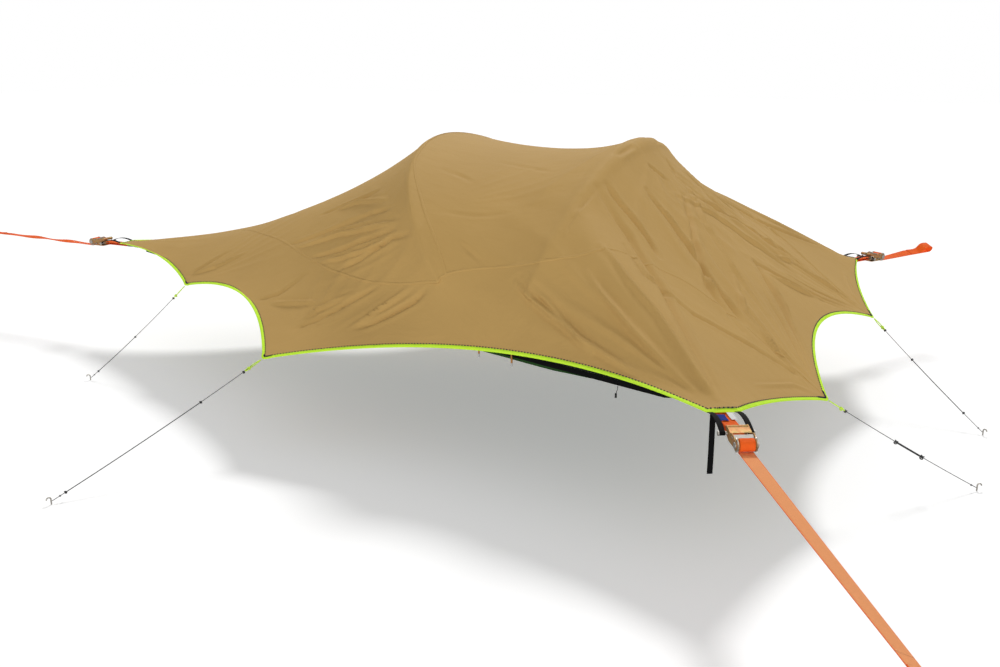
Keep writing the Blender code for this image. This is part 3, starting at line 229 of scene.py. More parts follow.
def mesh_object(name, points, faces, uv, finish, shift=APEX):
    """Vertices, equal-sized faces and one UV pair per face corner, as one smooth mesh."""
    mesh = bpy.data.meshes.new(name)
    sides = faces.shape[1]
    mesh.vertices.add(len(points))
    mesh.vertices.foreach_set("co", (points + shift).astype(np.float32).ravel())
    mesh.loops.add(faces.size)
    mesh.loops.foreach_set("vertex_index", faces.astype(np.int32).ravel())
    mesh.polygons.add(len(faces))
    mesh.polygons.foreach_set("loop_start", np.arange(0, faces.size, sides, dtype=np.int32))
    mesh.polygons.foreach_set("use_smooth", np.ones(len(faces), bool))
    layer = mesh.uv_layers.new(name="metres")
    layer.data.foreach_set("uv", uv.astype(np.float32).ravel())
    mesh.update(calc_edges=True)
    mesh.validate()
    mesh.materials.append(finish)
    made = bpy.data.objects.new(name, mesh)
    bpy.context.scene.collection.objects.link(made)
    return made


def surface(name, points, uv, finish, wrap=(False, False), shift=APEX):
    """A grid of points (rows, columns, 3) as one surface, with UV in metres."""
    rows, columns, _ = points.shape
    faces, spread = grid_faces(rows, columns, *wrap)
    return mesh_object(name, points.reshape(-1, 3), faces, uv.reshape(-1, 2)[spread.ravel()], finish, shift)


def lengths_along(path):
    """How far each point of a path is from its start, along the path."""
    steps = np.linalg.norm(np.diff(path, axis=0), axis=1)
    return np.concatenate([[0.0], np.cumsum(steps)])


def read_off(at, run, values):
    """Points or directions given at the places run, read off at the places at in between."""
    return np.stack([np.interp(at, run, values[:, k]) for k in range(3)], -1)


def run_across(points):
    """How far each point of a grid is from its row's first one, along the row."""
    steps = np.linalg.norm(np.diff(points, axis=1), axis=-1)
    return np.concatenate([np.zeros((len(points), 1)), np.cumsum(steps, axis=1)], axis=1)


def closed_up(path):
    """A closed path with its first point once more at the end."""
    return np.vstack([path, path[:1]])


def thicken(made, thickness):
    """Gives a sheet its thickness, half of it to each side."""
    wall = made.modifiers.new("cloth", "SOLIDIFY")
    wall.thickness, wall.offset = thickness, 0.0


def resampled(path, step):
    """A path with points a step apart, each worked out on the cubic through its neighbours."""
    path = np.asarray(path, float)
    run = lengths_along(path)
    at = np.linspace(0.0, run[-1], max(2, int(round(run[-1] / step)) + 1))
    index = np.clip(np.searchsorted(run, at, side="right") - 1, 0, len(path) - 2)
    share = ((at - run[index]) / (run[index + 1] - run[index]))[:, None]
    before, after = path[np.maximum(index - 1, 0)], path[np.minimum(index + 2, len(path) - 1)]
    first, last = path[index], path[index + 1]
    cubic = share * (3 * (first - last) + after - before)
    square = share * (2 * before - 5 * first + 4 * last - after + cubic)
    return first + 0.5 * share * (last - before + square)


def tangents(path, closed=False):
    """The direction from each point's neighbour before it to the one after it."""
    if closed:
        return unit(np.roll(path, -1, 0) - np.roll(path, 1, 0))
    return unit(np.gradient(path, axis=0))


def swept(name, path, across, normal, profile, finish, closed=False, shift=APEX):
    """A closed profile of (across, normal) pairs carried along a path. Its faces point out, its
    ends are shut by drawing the last sections together, and UV is (across, along) in metres."""
    run = lengths_along(closed_up(path) if closed else path)
    sections = path[:, None] + across[:, None] * profile[None, :, :1] + normal[:, None] * profile[None, :, 1:]
    if not closed:
        blank = np.zeros_like(sections[:1])
        sections = np.concatenate([path[:1, None] + blank, sections, path[-1:, None] + blank])
        run = np.concatenate([run[:1], run, run[-1:]])
    wide = np.concatenate([profile[:, 0], profile[:1, 0]])
    uv = np.stack(np.broadcast_arrays(wide[None, :], run[:, None]), -1)
    made = surface(name, sections, uv, finish, (closed, True), shift)
    if not closed:
        weld(made)
    return made


def weld(made):
    """Merge doubled points, drop faces without area and turn all faces outwards."""
    work = bmesh.new()
    work.from_mesh(made.data)
    bmesh.ops.remove_doubles(work, verts=work.verts, dist=1e-6)
    bmesh.ops.dissolve_degenerate(work, edges=work.edges, dist=1e-7)
    bmesh.ops.recalc_face_normals(work, faces=work.faces)
    work.to_mesh(made.data)
    work.free()


def flat_profile(width, thickness, edge=0.002):
    """A flat band with rounded selvedges, as (across, up) pairs."""
    half, up = width / 2, thickness / 2
    rim, low = 0.3 * edge, up * 0.8
    top = [(-half + rim, low), (-half + edge, up), (half - edge, up), (half - rim, low)]
    return np.array(top + [(half, 0.0)] + [(x, -z) for x, z in top[::-1]] + [(-half, 0.0)])


def round_profile(radius, steps=10):
    """A circle (r cos a, r sin a), as (across, up) pairs."""
    turn = 2 * np.pi * np.arange(steps) / steps
    return radius * np.stack([np.cos(turn), np.sin(turn)], -1)


def arc_points(centre, radius, start, end, steps):
    """Pairs on a circle about a centre, from one angle to another."""
    turn = np.linspace(start, end, steps + 1)
    return [(centre[0] + radius * math.cos(a), centre[1] + radius * math.sin(a)) for a in turn]


def round_bar(name, path, radius, finish, steps=10, closed=False, shift=APEX):
    """A round bar or cord: a circle carried along a path with a frame turned from point to point."""
    along = tangents(path, closed)
    side = np.cross(along[0], UP if abs(along[0, 2]) < 0.9 else np.array([1.0, 0.0, 0.0]))
    sides = []
    for way in along:
        side = side - way * np.dot(side, way)
        side = side / np.linalg.norm(side)
        sides.append(side)
    sides = np.array(sides)
    return swept(name, path, sides, np.cross(along, sides), round_profile(radius, steps), finish, closed, shift)


def beads(name, centres, along, up, size, finish, shift=APEX):
    """Stitches: at each centre a thread lens with six sides between two tips."""
    long, wide, high = size
    side = unit(np.cross(up, along))
    turn = 2 * np.pi * np.arange(6) / 6
    ring = np.stack([np.zeros(6), wide / 2 * np.cos(turn), high / 2 * np.sin(turn)], -1)
    tip, shoulder = [long / 2, 0.0, 0.0], [long / 5, 0, 0]
    shape = np.vstack([[np.negative(tip)], ring - shoulder, ring + shoulder, [tip]])
    points = (centres[:, None] + along[:, None] * shape[None, :, :1] + side[:, None] * shape[None, :, 1:2]
              + up[:, None] * shape[None, :, 2:])
    k = np.arange(6)
    n = (k + 1) % 6
    faces = np.vstack([np.stack([0 * k, 1 + n, 1 + k], -1), np.stack([1 + k, 1 + n, 7 + n], -1),
                       np.stack([1 + k, 7 + n, 7 + k], -1), np.stack([13 + 0 * k, 7 + k, 7 + n], -1)])
    faces = (faces[None] + 14 * np.arange(len(centres))[:, None, None]).reshape(-1, 3)
    uv = np.zeros((faces.size, 2))
    return mesh_object(name, points.reshape(-1, 3), faces, uv, finish, shift)


def rig_points(place, points):
    """Points of a corner's own frame, x out along the strap and y across, from the apex ring."""
    return RINGS[place] + rig_ways(place, points)


def rig_ways(place, vectors):
    """Directions of a corner's own frame, turned to its heading."""
    c, s = math.cos(HEADINGS[place]), math.sin(HEADINGS[place])
    return np.asarray(vectors, float) @ np.array([[c, -s, 0], [s, c, 0], [0, 0, 1]]).T


def rig_band(name, place, path, profile, finish, closed=False):
    """A band carried along a path that lies in a plane upright along a corner's strap."""
    across = np.broadcast_to(rig_ways(place, [0.0, 1.0, 0.0]), path.shape)
    normal = unit(np.cross(tangents(path, closed), across))
    return swept(name, path, across, normal, profile, finish, closed)


# The fly's form

def half_width(x):
    """Half the floor triangle's width at a distance from the apex ring."""
    return WIDTH / 2 * x / LENGTH


def on_side(places, far):
    """Grid places of the near half, or the same places of the far half."""
    return [(row, LAST_COLUMN - column) for row, column in places] if far else places


def edge_arc(start, end, pull, shares):
    """A slack edge: the chord plus a parabola, 4 s (1 - s), pulled inward and up."""
    share = np.asarray(shares)[:, None]
    inward, rise = pull
    chord = end - start
    side = unit(np.array([-chord[1], chord[0], 0.0]))
    return start + chord * share + 4 * share * (1 - share) * (side * inward + UP * rise)


def hoop_points(hoop, angles, offset=0.0):
    """A leaning half ellipse from long edge to long edge, moved out by an offset: at an angle a
    from its crown it is (half + offset) sin a across and (height + offset) cos a up, and leans in
    proportion to its height."""
    base_share, crown_share, height = hoop
    base = LENGTH * base_share
    lean = LENGTH * crown_share - base
    slant = math.hypot(LENGTH, WIDTH / 2) / LENGTH
    half = half_width(base) + (BAND_THICKNESS / 2 + GAP + POLE_RADIUS) * slant
    up = (height + offset) * np.cos(angles)
    return np.stack([base + lean * up / height, (half + offset) * np.sin(angles), up], -1)


def fly_outline(steps):
    """The near long edge from apex to head corner, and the head edge, steps to a grid cell."""
    side = np.array([-NEAR_OUT[1], NEAR_OUT[0], 0.0])
    apex = np.array([-CORNER_HALF, -CORNER_HALF, CORNER_HEIGHT])
    tip = RINGS["near"] + NEAR_OUT * CORNER_HALF + UP * CORNER_HEIGHT
    first, second = tip - side * CORNER_HALF, tip + side * CORNER_HALF
    foot, head = ((LENGTH * hoop[0] - AFT_TIE[0]) / (first[0] - AFT_TIE[0]) for hoop in (FOOT_HOOP, HEAD_HOOP))
    long_shares = np.concatenate([foot * even((FOOT_ROW - AFT_ROW) * steps),
                                  foot + (head - foot) * even((HEAD_ROW - FOOT_ROW) * steps)[1:],
                                  head + (1 - head) * even((LAST_ROW - HEAD_ROW) * steps)[1:]])
    near = np.vstack([edge_arc(apex, FORE_TIE, FORE_ARC, even(FORE_ROW * steps)),
                      edge_arc(FORE_TIE, AFT_TIE, AFT_ARC, even((AFT_ROW - FORE_ROW) * steps))[1:],
                      edge_arc(AFT_TIE, first, LONG_ARC, long_shares)[1:]])
    corner = edge_arc(first, second, STRAIGHT, even(steps))
    flank = edge_arc(second, HEAD_TIE, FLANK_ARC, even((TIE_COLUMN - 1) * steps))[1:]
    notch = edge_arc(HEAD_TIE, HEAD_TIE * MIRROR, NOTCH_ARC, even((LAST_COLUMN - 2 * TIE_COLUMN) * steps))[1:]
    half_head = np.vstack([corner, flank])
    return near, np.vstack([half_head, notch, (half_head * MIRROR)[::-1][1:]])


def spanned(near, head):
    """A grid from the near edge straight across to its mirror image, and its held points: the
    border, with the head edge as the last row."""
    share = even(len(head) - 1)[None, :, None]
    grid = near[:, None] * (1 - share) + (near * MIRROR)[:, None] * share
    grid[-1] = head
    fixed = np.zeros(grid.shape[:2], bool)
    fixed[[0, -1]] = True
    fixed[:, [0, -1]] = True
    return grid, fixed


def lay_on_hoops(grid, fixed, rows, free, degrees, offset):
    """Lays two rows on the hoops to so many degrees from the crown, but for some free columns
    at either end, and holds them there."""
    columns = grid.shape[1]
    angles = np.linspace(-math.radians(degrees), math.radians(degrees), columns - 2 * free)
    for row, hoop in zip(rows, (FOOT_HOOP, HEAD_HOOP)):
        grid[row, free:columns - free] = hoop_points(hoop, angles, offset)
        fixed[row, free:columns - free] = True


def stretched_fly(steps):
    """The fly as a stretched sheet: every free point is the mean of its neighbours, weighted by
    one along and by the row's tension across. The outline, the hoops' arcs and the taut lines
    from the head hoop's shoulders to the head corners are held. Solved by conjugate gradients.
    Between the apex and the fore ties the points are then spaced more evenly across."""
    near, head = fly_outline(steps)
    columns = len(head)
    grid, fixed = spanned(near, head)
    lay_on_hoops(grid, fixed, (FOOT_ROW * steps, HEAD_ROW * steps), FREE_COLUMNS * steps, FLY_HELD,
                 POLE_RADIUS + FLY_OVER_POLES)
    ridge_steps = (LAST_ROW - HEAD_ROW) * steps
    count = np.arange(1, ridge_steps)
    down = count / ridge_steps
    start, end = grid[HEAD_ROW * steps, RIDGE_COLUMN * steps].copy(), head[steps]
    line = start + (end - start) * down[:, None] - UP * RIDGE_SAG * (4 * down * (1 - down))[:, None]
    rows_at = HEAD_ROW * steps + count
    columns_at = np.round(RIDGE_COLUMN * steps - count * (RIDGE_COLUMN - 1) * steps / ridge_steps).astype(int)
    grid[rows_at, columns_at], fixed[rows_at, columns_at] = line, True
    grid[rows_at, columns - 1 - columns_at], fixed[rows_at, columns - 1 - columns_at] = line * MIRROR, True
    pull = np.full(len(near), HEAD_TENSION)
    for row, tension in TENSIONS:
        pull[:row * steps + (row == HEAD_ROW)] = tension
    pull = pull[1:-1, None, None]
    free = ~fixed[1:-1, 1:-1, None]

    def unbalance(whole):
        """How far each free point is from the weighted sum of its neighbours."""
        middle = whole[1:-1, 1:-1]
        return free * ((2 + 2 * pull) * middle - whole[2:, 1:-1] - whole[:-2, 1:-1]
                       - pull * (whole[1:-1, 2:] + whole[1:-1, :-2]))

    rest = -unbalance(grid)
    step = rest.copy()
    size = (rest ** 2).sum()
    for _ in range(SOLVE_TURNS):
        spread = np.zeros_like(grid)
        spread[1:-1, 1:-1] = step
        turned = unbalance(spread)
        amount = size / (step * turned).sum()
        grid[1:-1, 1:-1] += amount * step
        rest -= amount * turned
        new_size = (rest ** 2).sum()
        if new_size < SOLVED:
            break
        step = rest + step * new_size / size
        size = new_size
    fore = FORE_ROW * steps
    for row in range(1, fore):
        wide = np.interp(grid[row, :, 0], near[:, 0], near[:, 1]) * (1 - 2 * even(columns - 1))
        grid[row, :, 1] += (wide - grid[row, :, 1]) * (1 - row / fore)
    return grid


def cubic_weights(at, count):
    """A matrix that takes values at 0, 1, 2 ... to the places at, on the cubic through them."""
    index = np.clip(np.floor(at).astype(int), 0, count - 2)
    s = at - index
    weights = np.zeros((len(at), count))
    parts = (-s + 2 * s ** 2 - s ** 3, 2 - 5 * s ** 2 + 3 * s ** 3, s + 4 * s ** 2 - 3 * s ** 3, -s ** 2 + s ** 3)
    for offset, part in zip((-1, 0, 1, 2), parts):
        np.add.at(weights, (np.arange(len(at)), np.clip(index + offset, 0, count - 1)), part / 2)
    return weights


def spread_over(coarse, steps, rows, columns):
    """Grid points at finer rows and columns, given in grid lines."""
    by_row = cubic_weights(rows * steps, coarse.shape[0])
    by_column = cubic_weights(columns * steps, coarse.shape[1])
    return np.einsum("ai,ijk,bj->abk", by_row, coarse, by_column)


def sampled(points, rows, columns, at):
    """Points, or normals, of a fine grid at (row, column) places, straight between its lines."""
    at = np.asarray(at, float)
    r = np.interp(at[:, 0], rows, np.arange(len(rows)))
    c = np.interp(at[:, 1], columns, np.arange(len(columns)))
    i, j = np.minimum(r.astype(int), len(rows) - 2), np.minimum(c.astype(int), len(columns) - 2)
    s, t = (r - i)[:, None], (c - j)[:, None]
    return ((points[i, j] * (1 - t) + points[i, j + 1] * t) * (1 - s)
            + (points[i + 1, j] * (1 - t) + points[i + 1, j + 1] * t) * s)


def grid_normals(points):
    """The cross product of a grid's slopes down and across, as unit vectors."""
    down, over = np.gradient(points, axis=0), np.gradient(points, axis=1)
    return unit(np.cross(down, over))


def lift_by(height, wide, places, rows, columns, points, sharp):
    """How far one fold lifts each grid point: with d the distance from its line and w its half
    width, exp(-d / w) for a crease and exp(-(d / w)^2) cos(2.2 d / w) for a fold, times
    sin(pi s)^0.6 along it, with its share s kept 0.02 off the ends."""
    places = np.asarray(places, float)
    line = sampled(points, rows, columns, places)
    low, high = places.min(0), places.max(0)
    pad = FOLD_REACH * wide / SMALLEST_CELL
    rs = slice(max(0, np.searchsorted(rows, low[0] - pad) - 1), np.searchsorted(rows, high[0] + pad) + 1)
    cs = slice(max(0, np.searchsorted(columns, low[1] - pad) - 1), np.searchsorted(columns, high[1] + pad) + 1)
    spot = points[rs, cs]
    run = lengths_along(line)
    nearest = np.full(spot.shape[:2], 1e9)
    share = np.zeros(spot.shape[:2])
    for k in range(len(line) - 1):
        step = line[k + 1] - line[k]
        t = np.clip(((spot - line[k]) @ step) / (step @ step), 0, 1)
        d = np.linalg.norm(spot - line[k] - t[..., None] * step, axis=-1)
        closer = d < nearest
        nearest = np.where(closer, d, nearest)
        share = np.where(closer, (run[k] + t * (run[k + 1] - run[k])) / run[-1], share)
    ends = np.sin(np.pi * np.clip(share, 0.02, 0.98)) ** 0.6
    q = nearest / wide
    out = np.zeros(points.shape[:2])
    out[rs, cs] = height * ends * (np.exp(-q) if sharp else np.exp(-q ** 2) * np.cos(2.2 * q))
    return out


def fan_lift(fan, rows, columns, points, normals, far):
    """How far one fan of pull wrinkles lifts each grid point. With r the distance from its
    start, t the angle from its middle, h its half opening and n wrinkles to a radian: ridges
    (0.5 + 0.5 cos(2 pi n w))^2.5 - 0.3, with w the angle t and two small waves, times
    0.7 + 0.3 sin(9.1 t) and cos(pi t / 2 h) across, and in proportion to r / n and
    exp(-(r / reach)^2) along, growing from 90 mm off the start."""
    start, aim, half, count, reach, steep = fan
    places = on_side([start, aim], far)
    centre, middle = sampled(points, rows, columns, places)
    high = unit(sampled(normals, rows, columns, places[1:])[0])
    ahead = unit(middle - centre - high * np.dot(middle - centre, high))
    aside = np.cross(high, ahead) * (-1.0 if far else 1.0)
    away = points - centre
    distance = np.linalg.norm(away, axis=-1)
    angle = np.arctan2(away @ aside, away @ ahead)
    waved = angle + 0.05 * np.sin(5.3 * angle + 9 * start[0]) + 0.012 * np.sin(11 * distance + 3 * start[1])
    ridges = (0.5 + 0.5 * np.cos(2 * np.pi * count * waved)) ** 2.5 - 0.3
    uneven = 0.7 + 0.3 * np.sin(9.1 * angle + start[0])
    across = np.cos(np.clip(angle / half, -1, 1) * np.pi / 2)
    along = np.clip((distance - 0.09) * count / 0.8, 0, 1) * np.exp(-(distance / reach) ** 2)
    return steep * distance / count * ridges * uneven * across * along


def folded(points, rows, columns):
    """The fly's grid with its creases, folds and fans, on both sides, fading out at the edges
    and kept off the hoops. The taut lines are first rounded off by means over neighbours."""
    beyond = rows[:, None] - HEAD_ROW
    away = np.minimum(np.abs(columns - RIDGE_COLUMN + beyond), np.abs(columns - LAST_COLUMN + RIDGE_COLUMN - beyond))
    line = np.where(beyond > ROUNDING_FROM, np.exp(-(away / ROUNDING_WIDTH) ** 2), 0.0)[1:-1, 1:-1, None]
    before = points.copy()
    for _ in range(ROUNDING_PASSES):
        mean = (points[2:, 1:-1] + points[:-2, 1:-1] + points[1:-1, 2:] + points[1:-1, :-2]) / 4
        points[1:-1, 1:-1] += line * (mean - points[1:-1, 1:-1])
    lost = float(np.percentile((before - points)[beyond[:, 0] > LOSS_FROM][..., 2], 99))
    points[1:-1, 1:-1] += ROUNDING_LIFT * lost * line * UP
    lift = np.zeros(points.shape[:2])
    normals = grid_normals(points)
    clear = np.where(beyond > 0, np.clip(away / FAN_CLEAR, FAN_KEPT, 1.0), 1.0)
    for fan in FANS:
        for far in (False, True):
            lift += clear * fan_lift(fan, rows, columns, points, normals, far)
    for places_list, sharp in ((CREASES, True), (FOLDS, False)):
        for height, wide, places in places_list:
            for far in (False, True):
                lift += lift_by(height, wide, on_side(places, far), rows, columns, points, sharp)
    from_hoop = np.minimum(np.abs(rows - FOOT_ROW), np.abs(rows - HEAD_ROW))[:, None]
    lift = np.maximum(lift, -HOOP_VALLEY - HOOP_EASE * np.maximum(from_hoop - HOOP_CLEAR, 0.0))
    by_row = np.clip((LAST_ROW - rows) / EDGE_FADE, 0, 1)[:, None] * np.clip(rows / APEX_FADE, 0, 1)[:, None]
    by_column = np.clip(columns / EDGE_FADE, 0, 1) * np.clip((LAST_COLUMN - columns) / EDGE_FADE, 0, 1)
    return points + normals * (lift * by_row * by_column[None, :])[..., None]


# Materials

# Threads and ribs, in radians to a metre, and the height below which the poles are bare
FLY_THREAD, TAPE_RIB, FLOOR_THREAD = 5200.0, 2100.0, 630.0
WARP_RIB, WEFT_RIB, NET_CELL = (2 * math.pi / pitch for pitch in (0.0022, 0.0026, 0.004))
BARE_BELOW = -0.045


class Amount:
    """A number in a material. Arithmetic on it adds Math nodes."""

    def __init__(self, finish, socket):
        self.finish, self.socket = finish, socket

    def _math(self, operation, first, second=None):
        inputs = {0: first} if second is None else {0: first, 1: second}
        return self.finish.node("ShaderNodeMath", {"operation": operation}, inputs)

    def __add__(self, other):
        return self._math("ADD", self, other)

    def __radd__(self, other):
        return self._math("ADD", other, self)

    def __sub__(self, other):
        return self._math("SUBTRACT", self, other)

    def __rsub__(self, other):
        return self._math("SUBTRACT", other, self)

    def __mul__(self, other):
        return self._math("MULTIPLY", self, other)

    def __rmul__(self, other):
        return self._math("MULTIPLY", other, self)

    def __truediv__(self, other):
        return self._math("DIVIDE", self, other)

    def __pow__(self, other):
        return self._math("POWER", self, other)

    def __gt__(self, other):
        return self._math("GREATER_THAN", self, other)

    def sine(self):
        return self._math("SINE", self)

    def size(self):
        return self._math("ABSOLUTE", self)

    def limited(self):
        return self.finish.node("ShaderNodeClamp", {}, {0: self})


class Nodes:
    """A node tree, in which one method makes any node from its type, settings and inputs."""

    def __init__(self, tree):
        self.tree = tree

    def node(self, kind, settings, inputs, output=0):
        """A node of this kind, with its settings made first, and one of its outputs."""
        made = self.tree.nodes.new(kind)
        for key, value in settings.items():
            if key == "stops":
                self.set_stops(made.color_ramp, value)
            else:
                setattr(made, key, value)
        for key, value in inputs.items():
            self.feed(made.inputs[key], value)
        return Amount(self, made.outputs[output])

    def set_stops(self, ramp, stops):
        """Gives a colour ramp its (place, colour) stops."""
        while len(ramp.elements) < len(stops):
            ramp.elements.new(0.5)
        for element, (at, colour) in zip(ramp.elements, stops):
            element.position, element.color = at, (*colour, 1.0)

    def feed(self, socket, value):
        """Links an Amount to a socket, or sets the socket to a plain value."""
        if isinstance(value, Amount):
            self.tree.links.new(value.socket, socket)
        else:
            socket.default_value = value

    def ray(self, kind):
        """One where a ray of this kind asks, and zero elsewhere."""
        return self.node("ShaderNodeLightPath", {}, {}, f"Is {kind} Ray")


class Finish(Nodes):
    """A procedural material on a Principled shader."""

    def __init__(self, name, **constants):
        self.material = bpy.data.materials.new(name)
        self.material.use_nodes = True
        super().__init__(self.material.node_tree)
        self.shader = self.tree.nodes["Principled BSDF"]
        self.set(**constants)

    def set(self, **inputs):
        """Feeds the shader's sockets, named with underscores for spaces."""
        for key, value in inputs.items():
            self.feed(self.shader.inputs[key.replace("_", " ")], value)

    def place(self):
        """The place in the object, in metres."""
        return self.node("ShaderNodeTexCoord", {}, {}, "Object")

    def cloth_place(self):
        """The place on the cloth, as metres across and along it."""
        return self.node("ShaderNodeTexCoord", {}, {}, "UV")

    def across_along(self):
        """The two parts of the place on the cloth."""
        cloth = self.cloth_place()
        return tuple(self.node("ShaderNodeSeparateXYZ", {}, {"Vector": cloth}, axis) for axis in "XY")

    def height(self):
        """How high a point of the object lies."""
        return self.node("ShaderNodeSeparateXYZ", {}, {"Vector": self.place()}, "Z")

    def noise(self, vector, scale, detail=3.0, roughness=0.5):
        """Clouds of noise, with a scale for each axis or one for all."""
        if isinstance(scale, tuple):
            vector, scale = self.node("ShaderNodeMapping", {}, {"Vector": vector, "Scale": scale}), 1.0
        values = {"Vector": vector, "Scale": scale, "Detail": detail, "Roughness": roughness}
        return self.node("ShaderNodeTexNoise", {}, values, "Fac")

    def ramp(self, amount, stops):
        """Colours that follow an amount through a ramp."""
        return self.node("ShaderNodeValToRGB", {"stops": stops}, {"Fac": amount})

    def mixed(self, amount, first, second):
        """First colour where the amount is 0, second where it is 1."""
        first, second = (c if isinstance(c, Amount) else (*c, 1.0) for c in (first, second))
        return self.node("ShaderNodeMix", {"data_type": "RGBA"}, {0: amount, 6: first, 7: second}, 2)

    def bump(self, height, distance):
        """Raises the surface by a height, in parts of a distance in metres."""
        self.set(Normal=self.node("ShaderNodeBump", {}, {"Height": height, "Distance": distance, "Strength": 1.0}))


def shade(colour, factor):
    """A colour made darker or lighter, each part at most one."""
    return tuple(min(1.0, c * factor) for c in colour)


def rgb(colour):
    """A colour setting as three plain numbers."""
    return tuple(colour)[:3]


def fly_finish(name, colour):
    """Coated polyester: fine plain weave, faint slubs, slow tone changes and soft creasing."""
    made = Finish(name, Specular_IOR_Level=0.12)
    cloth = made.cloth_place()
    tone = made.noise(made.place(), 2.3, 2.0)
    slub = made.noise(cloth, (900.0, 60.0, 1.0), 2.0)
    crumple = made.noise(cloth, (14.0, 5.0, 1.0), 4.0, 0.55)
    base = made.mixed(tone * 0.9 + slub * 0.1, shade(colour, 0.93), shade(colour, 1.08))
    made.set(Base_Color=base, Roughness=0.7 + 0.1 * slub)
    u, v = made.across_along()
    weave = (u * FLY_THREAD).sine() * (v * FLY_THREAD).sine()
    made.bump(weave * 0.04 + crumple * 3.4 + slub * 0.1, 0.0012)
    return made.material


def tape_finish(name, colour):
    """Binding tape: a lengthwise grosgrain rib and slightly worn, duller edges."""
    made = Finish(name, Roughness=0.7, Specular_IOR_Level=0.1)
    wear = made.noise(made.cloth_place(), (60.0, 25.0, 1.0), 3.0)
    made.set(Base_Color=made.mixed(wear, shade(colour, 0.85), shade(colour, 1.1)))
    made.bump((made.across_along()[1] * TAPE_RIB).sine() * 0.5 + wear * 0.4, 0.0004)
    return made.material


def webbing_finish(name, colour, width, roughness=0.68, selvedge=None):
    """Woven strap: lengthwise warp ribs crossed by a fine zigzag, with firmer selvedges,
    darkened as painted shade unless they are given a colour of their own."""
    made = Finish(name, Roughness=roughness, Specular_IOR_Level=0.08)
    u, v = made.across_along()
    warp = (u * WARP_RIB).sine()
    weft = (v * WEFT_RIB + warp * 1.4).sine()
    edge = (u.size() * (2 / width)) ** 14.0
    fibre = made.noise(made.cloth_place(), (500.0, 90.0, 1.0), 2.0)
    # The edges are made a third darker: painted shade along the selvedges
    tone = (0.5 + weft * 0.22 + fibre * 0.35 - edge * 0.35).limited()
    face = made.mixed(tone, shade(colour, 0.64), shade(colour, 1.12))
    if selvedge:
        face = made.mixed(edge.limited(), face, selvedge)
    made.set(Base_Color=face)
    made.bump(warp * 0.5 + weft * 0.5 - edge * 1.2, 0.0003)
    return made.material


def cord_finish(name, colour):
    """Braided cord: slanting bands of strands, a little waved."""
    made = Finish(name, Roughness=0.7)
    values = {"Vector": made.place(), "Scale": 220.0, "Distortion": 2.0}
    weave = made.node("ShaderNodeTexWave", {"bands_direction": "DIAGONAL"}, values, "Fac")
    made.set(Base_Color=made.mixed(weave, shade(colour, 0.7), shade(colour, 1.25)))
    made.bump(weave, 0.0004)
    return made.material


def floor_finish(name, colour):
    """The dark proofed floor cloth, with a raised grid of stronger threads."""
    made = Finish(name, Roughness=0.75, Specular_IOR_Level=0.15)
    tone = made.noise(made.place(), 5.0, 3.0)
    crumple = made.noise(made.cloth_place(), (9.0, 9.0, 1.0), 5.0, 0.6)
    made.set(Base_Color=made.mixed(tone, shade(colour, 0.8), shade(colour, 1.25)))
    u, v = made.across_along()
    threads = ((u * FLOOR_THREAD).sine() ** 8.0) + ((v * FLOOR_THREAD).sine() ** 8.0)
    made.bump(threads * 0.15 + crumple * 2.0, 0.0012)
    return made.material


def net_finish(name, colour):
    """Insect netting: threads round open cells, through which light and view pass."""
    made = Finish(name, Roughness=0.8)
    u, v = made.across_along()
    threads = ((u * NET_CELL).sine().size() ** 3.0) + ((v * NET_CELL).sine().size() ** 3.0)
    made.set(Base_Color=(*colour, 1.0), Alpha=(0.25 + threads * 0.4).limited())
    made.bump(threads, 0.0003)
    return made.material


def zinc_finish(name, colour):
    """Yellow zinc plate: gold with rosy and greenish clouds, fine drawing marks and dull rubs."""
    made = Finish(name, Metallic=1.0)
    place = made.place()
    cloud = made.noise(place, 38.0, 3.0, 0.6)
    fine = made.noise(place, (160.0, 160.0, 1440.0), 2.0)
    rosy, greenish = (tuple(c * f for c, f in zip(colour, parts)) for parts in ((1.05, 0.7, 0.8), (0.55, 0.75, 0.6)))
    base = made.ramp(cloud, [(0.25, shade(colour, 0.35)), (0.42, colour), (0.55, rosy), (0.75, greenish)])
    made.set(Base_Color=base, Roughness=0.5 + fine * 0.3)
    made.bump(fine + cloud * 0.5, 0.00025)
    return made.material


def steel_finish(name, colour):
    """Dull steel with fine rubbing marks and slightly clouded plate."""
    made = Finish(name, Metallic=1.0)
    place = made.place()
    cloud = made.noise(place, 45.0, 3.0)
    fine = made.noise(place, (220.0, 1540.0, 220.0), 2.0)
    made.set(Base_Color=made.mixed(cloud, shade(colour, 0.82), shade(colour, 1.08)), Roughness=0.42 + fine * 0.2)
    made.bump(fine, 0.00015)
    return made.material


def alloy_finish(name, colour, tip_colour):
    """Anodised pole tube with drawing lines, and a bare end below the floor's edge."""
    made = Finish(name, Metallic=1.0)
    fine = made.noise(made.place(), 300.0, 2.0)
    made.set(Base_Color=made.mixed(made.height() > BARE_BELOW, tip_colour, colour), Roughness=0.28 + fine * 0.15)
    made.bump(fine, 0.0001)
    return made.material


def moulded_finish(name, colour, roughness=0.45):
    """Moulded plastic, thread or coated label cloth with a fine grain."""
    made = Finish(name, Specular_IOR_Level=0.25)
    grain = made.noise(made.place(), 600.0, 2.0)
    made.set(Base_Color=made.mixed(grain, shade(colour, 0.9), shade(colour, 1.1)), Roughness=roughness + grain * 0.1)
    made.bump(grain, 0.0001)
    return made.material


# Filled by the operators: the materials by their kind, and the finished fly's grid
FINISHES = {}
FLY = {}


def on_fly(what, places):
    """Points or normals of the finished fly at (row, column) places."""
    return sampled(FLY[what], FLY["rows"], FLY["columns"], places)


# Settings

def colour(name, description, default):
    """A colour setting."""
    return bpy.props.FloatVectorProperty(name=name, description=description, subtype="COLOR", size=3, default=default)


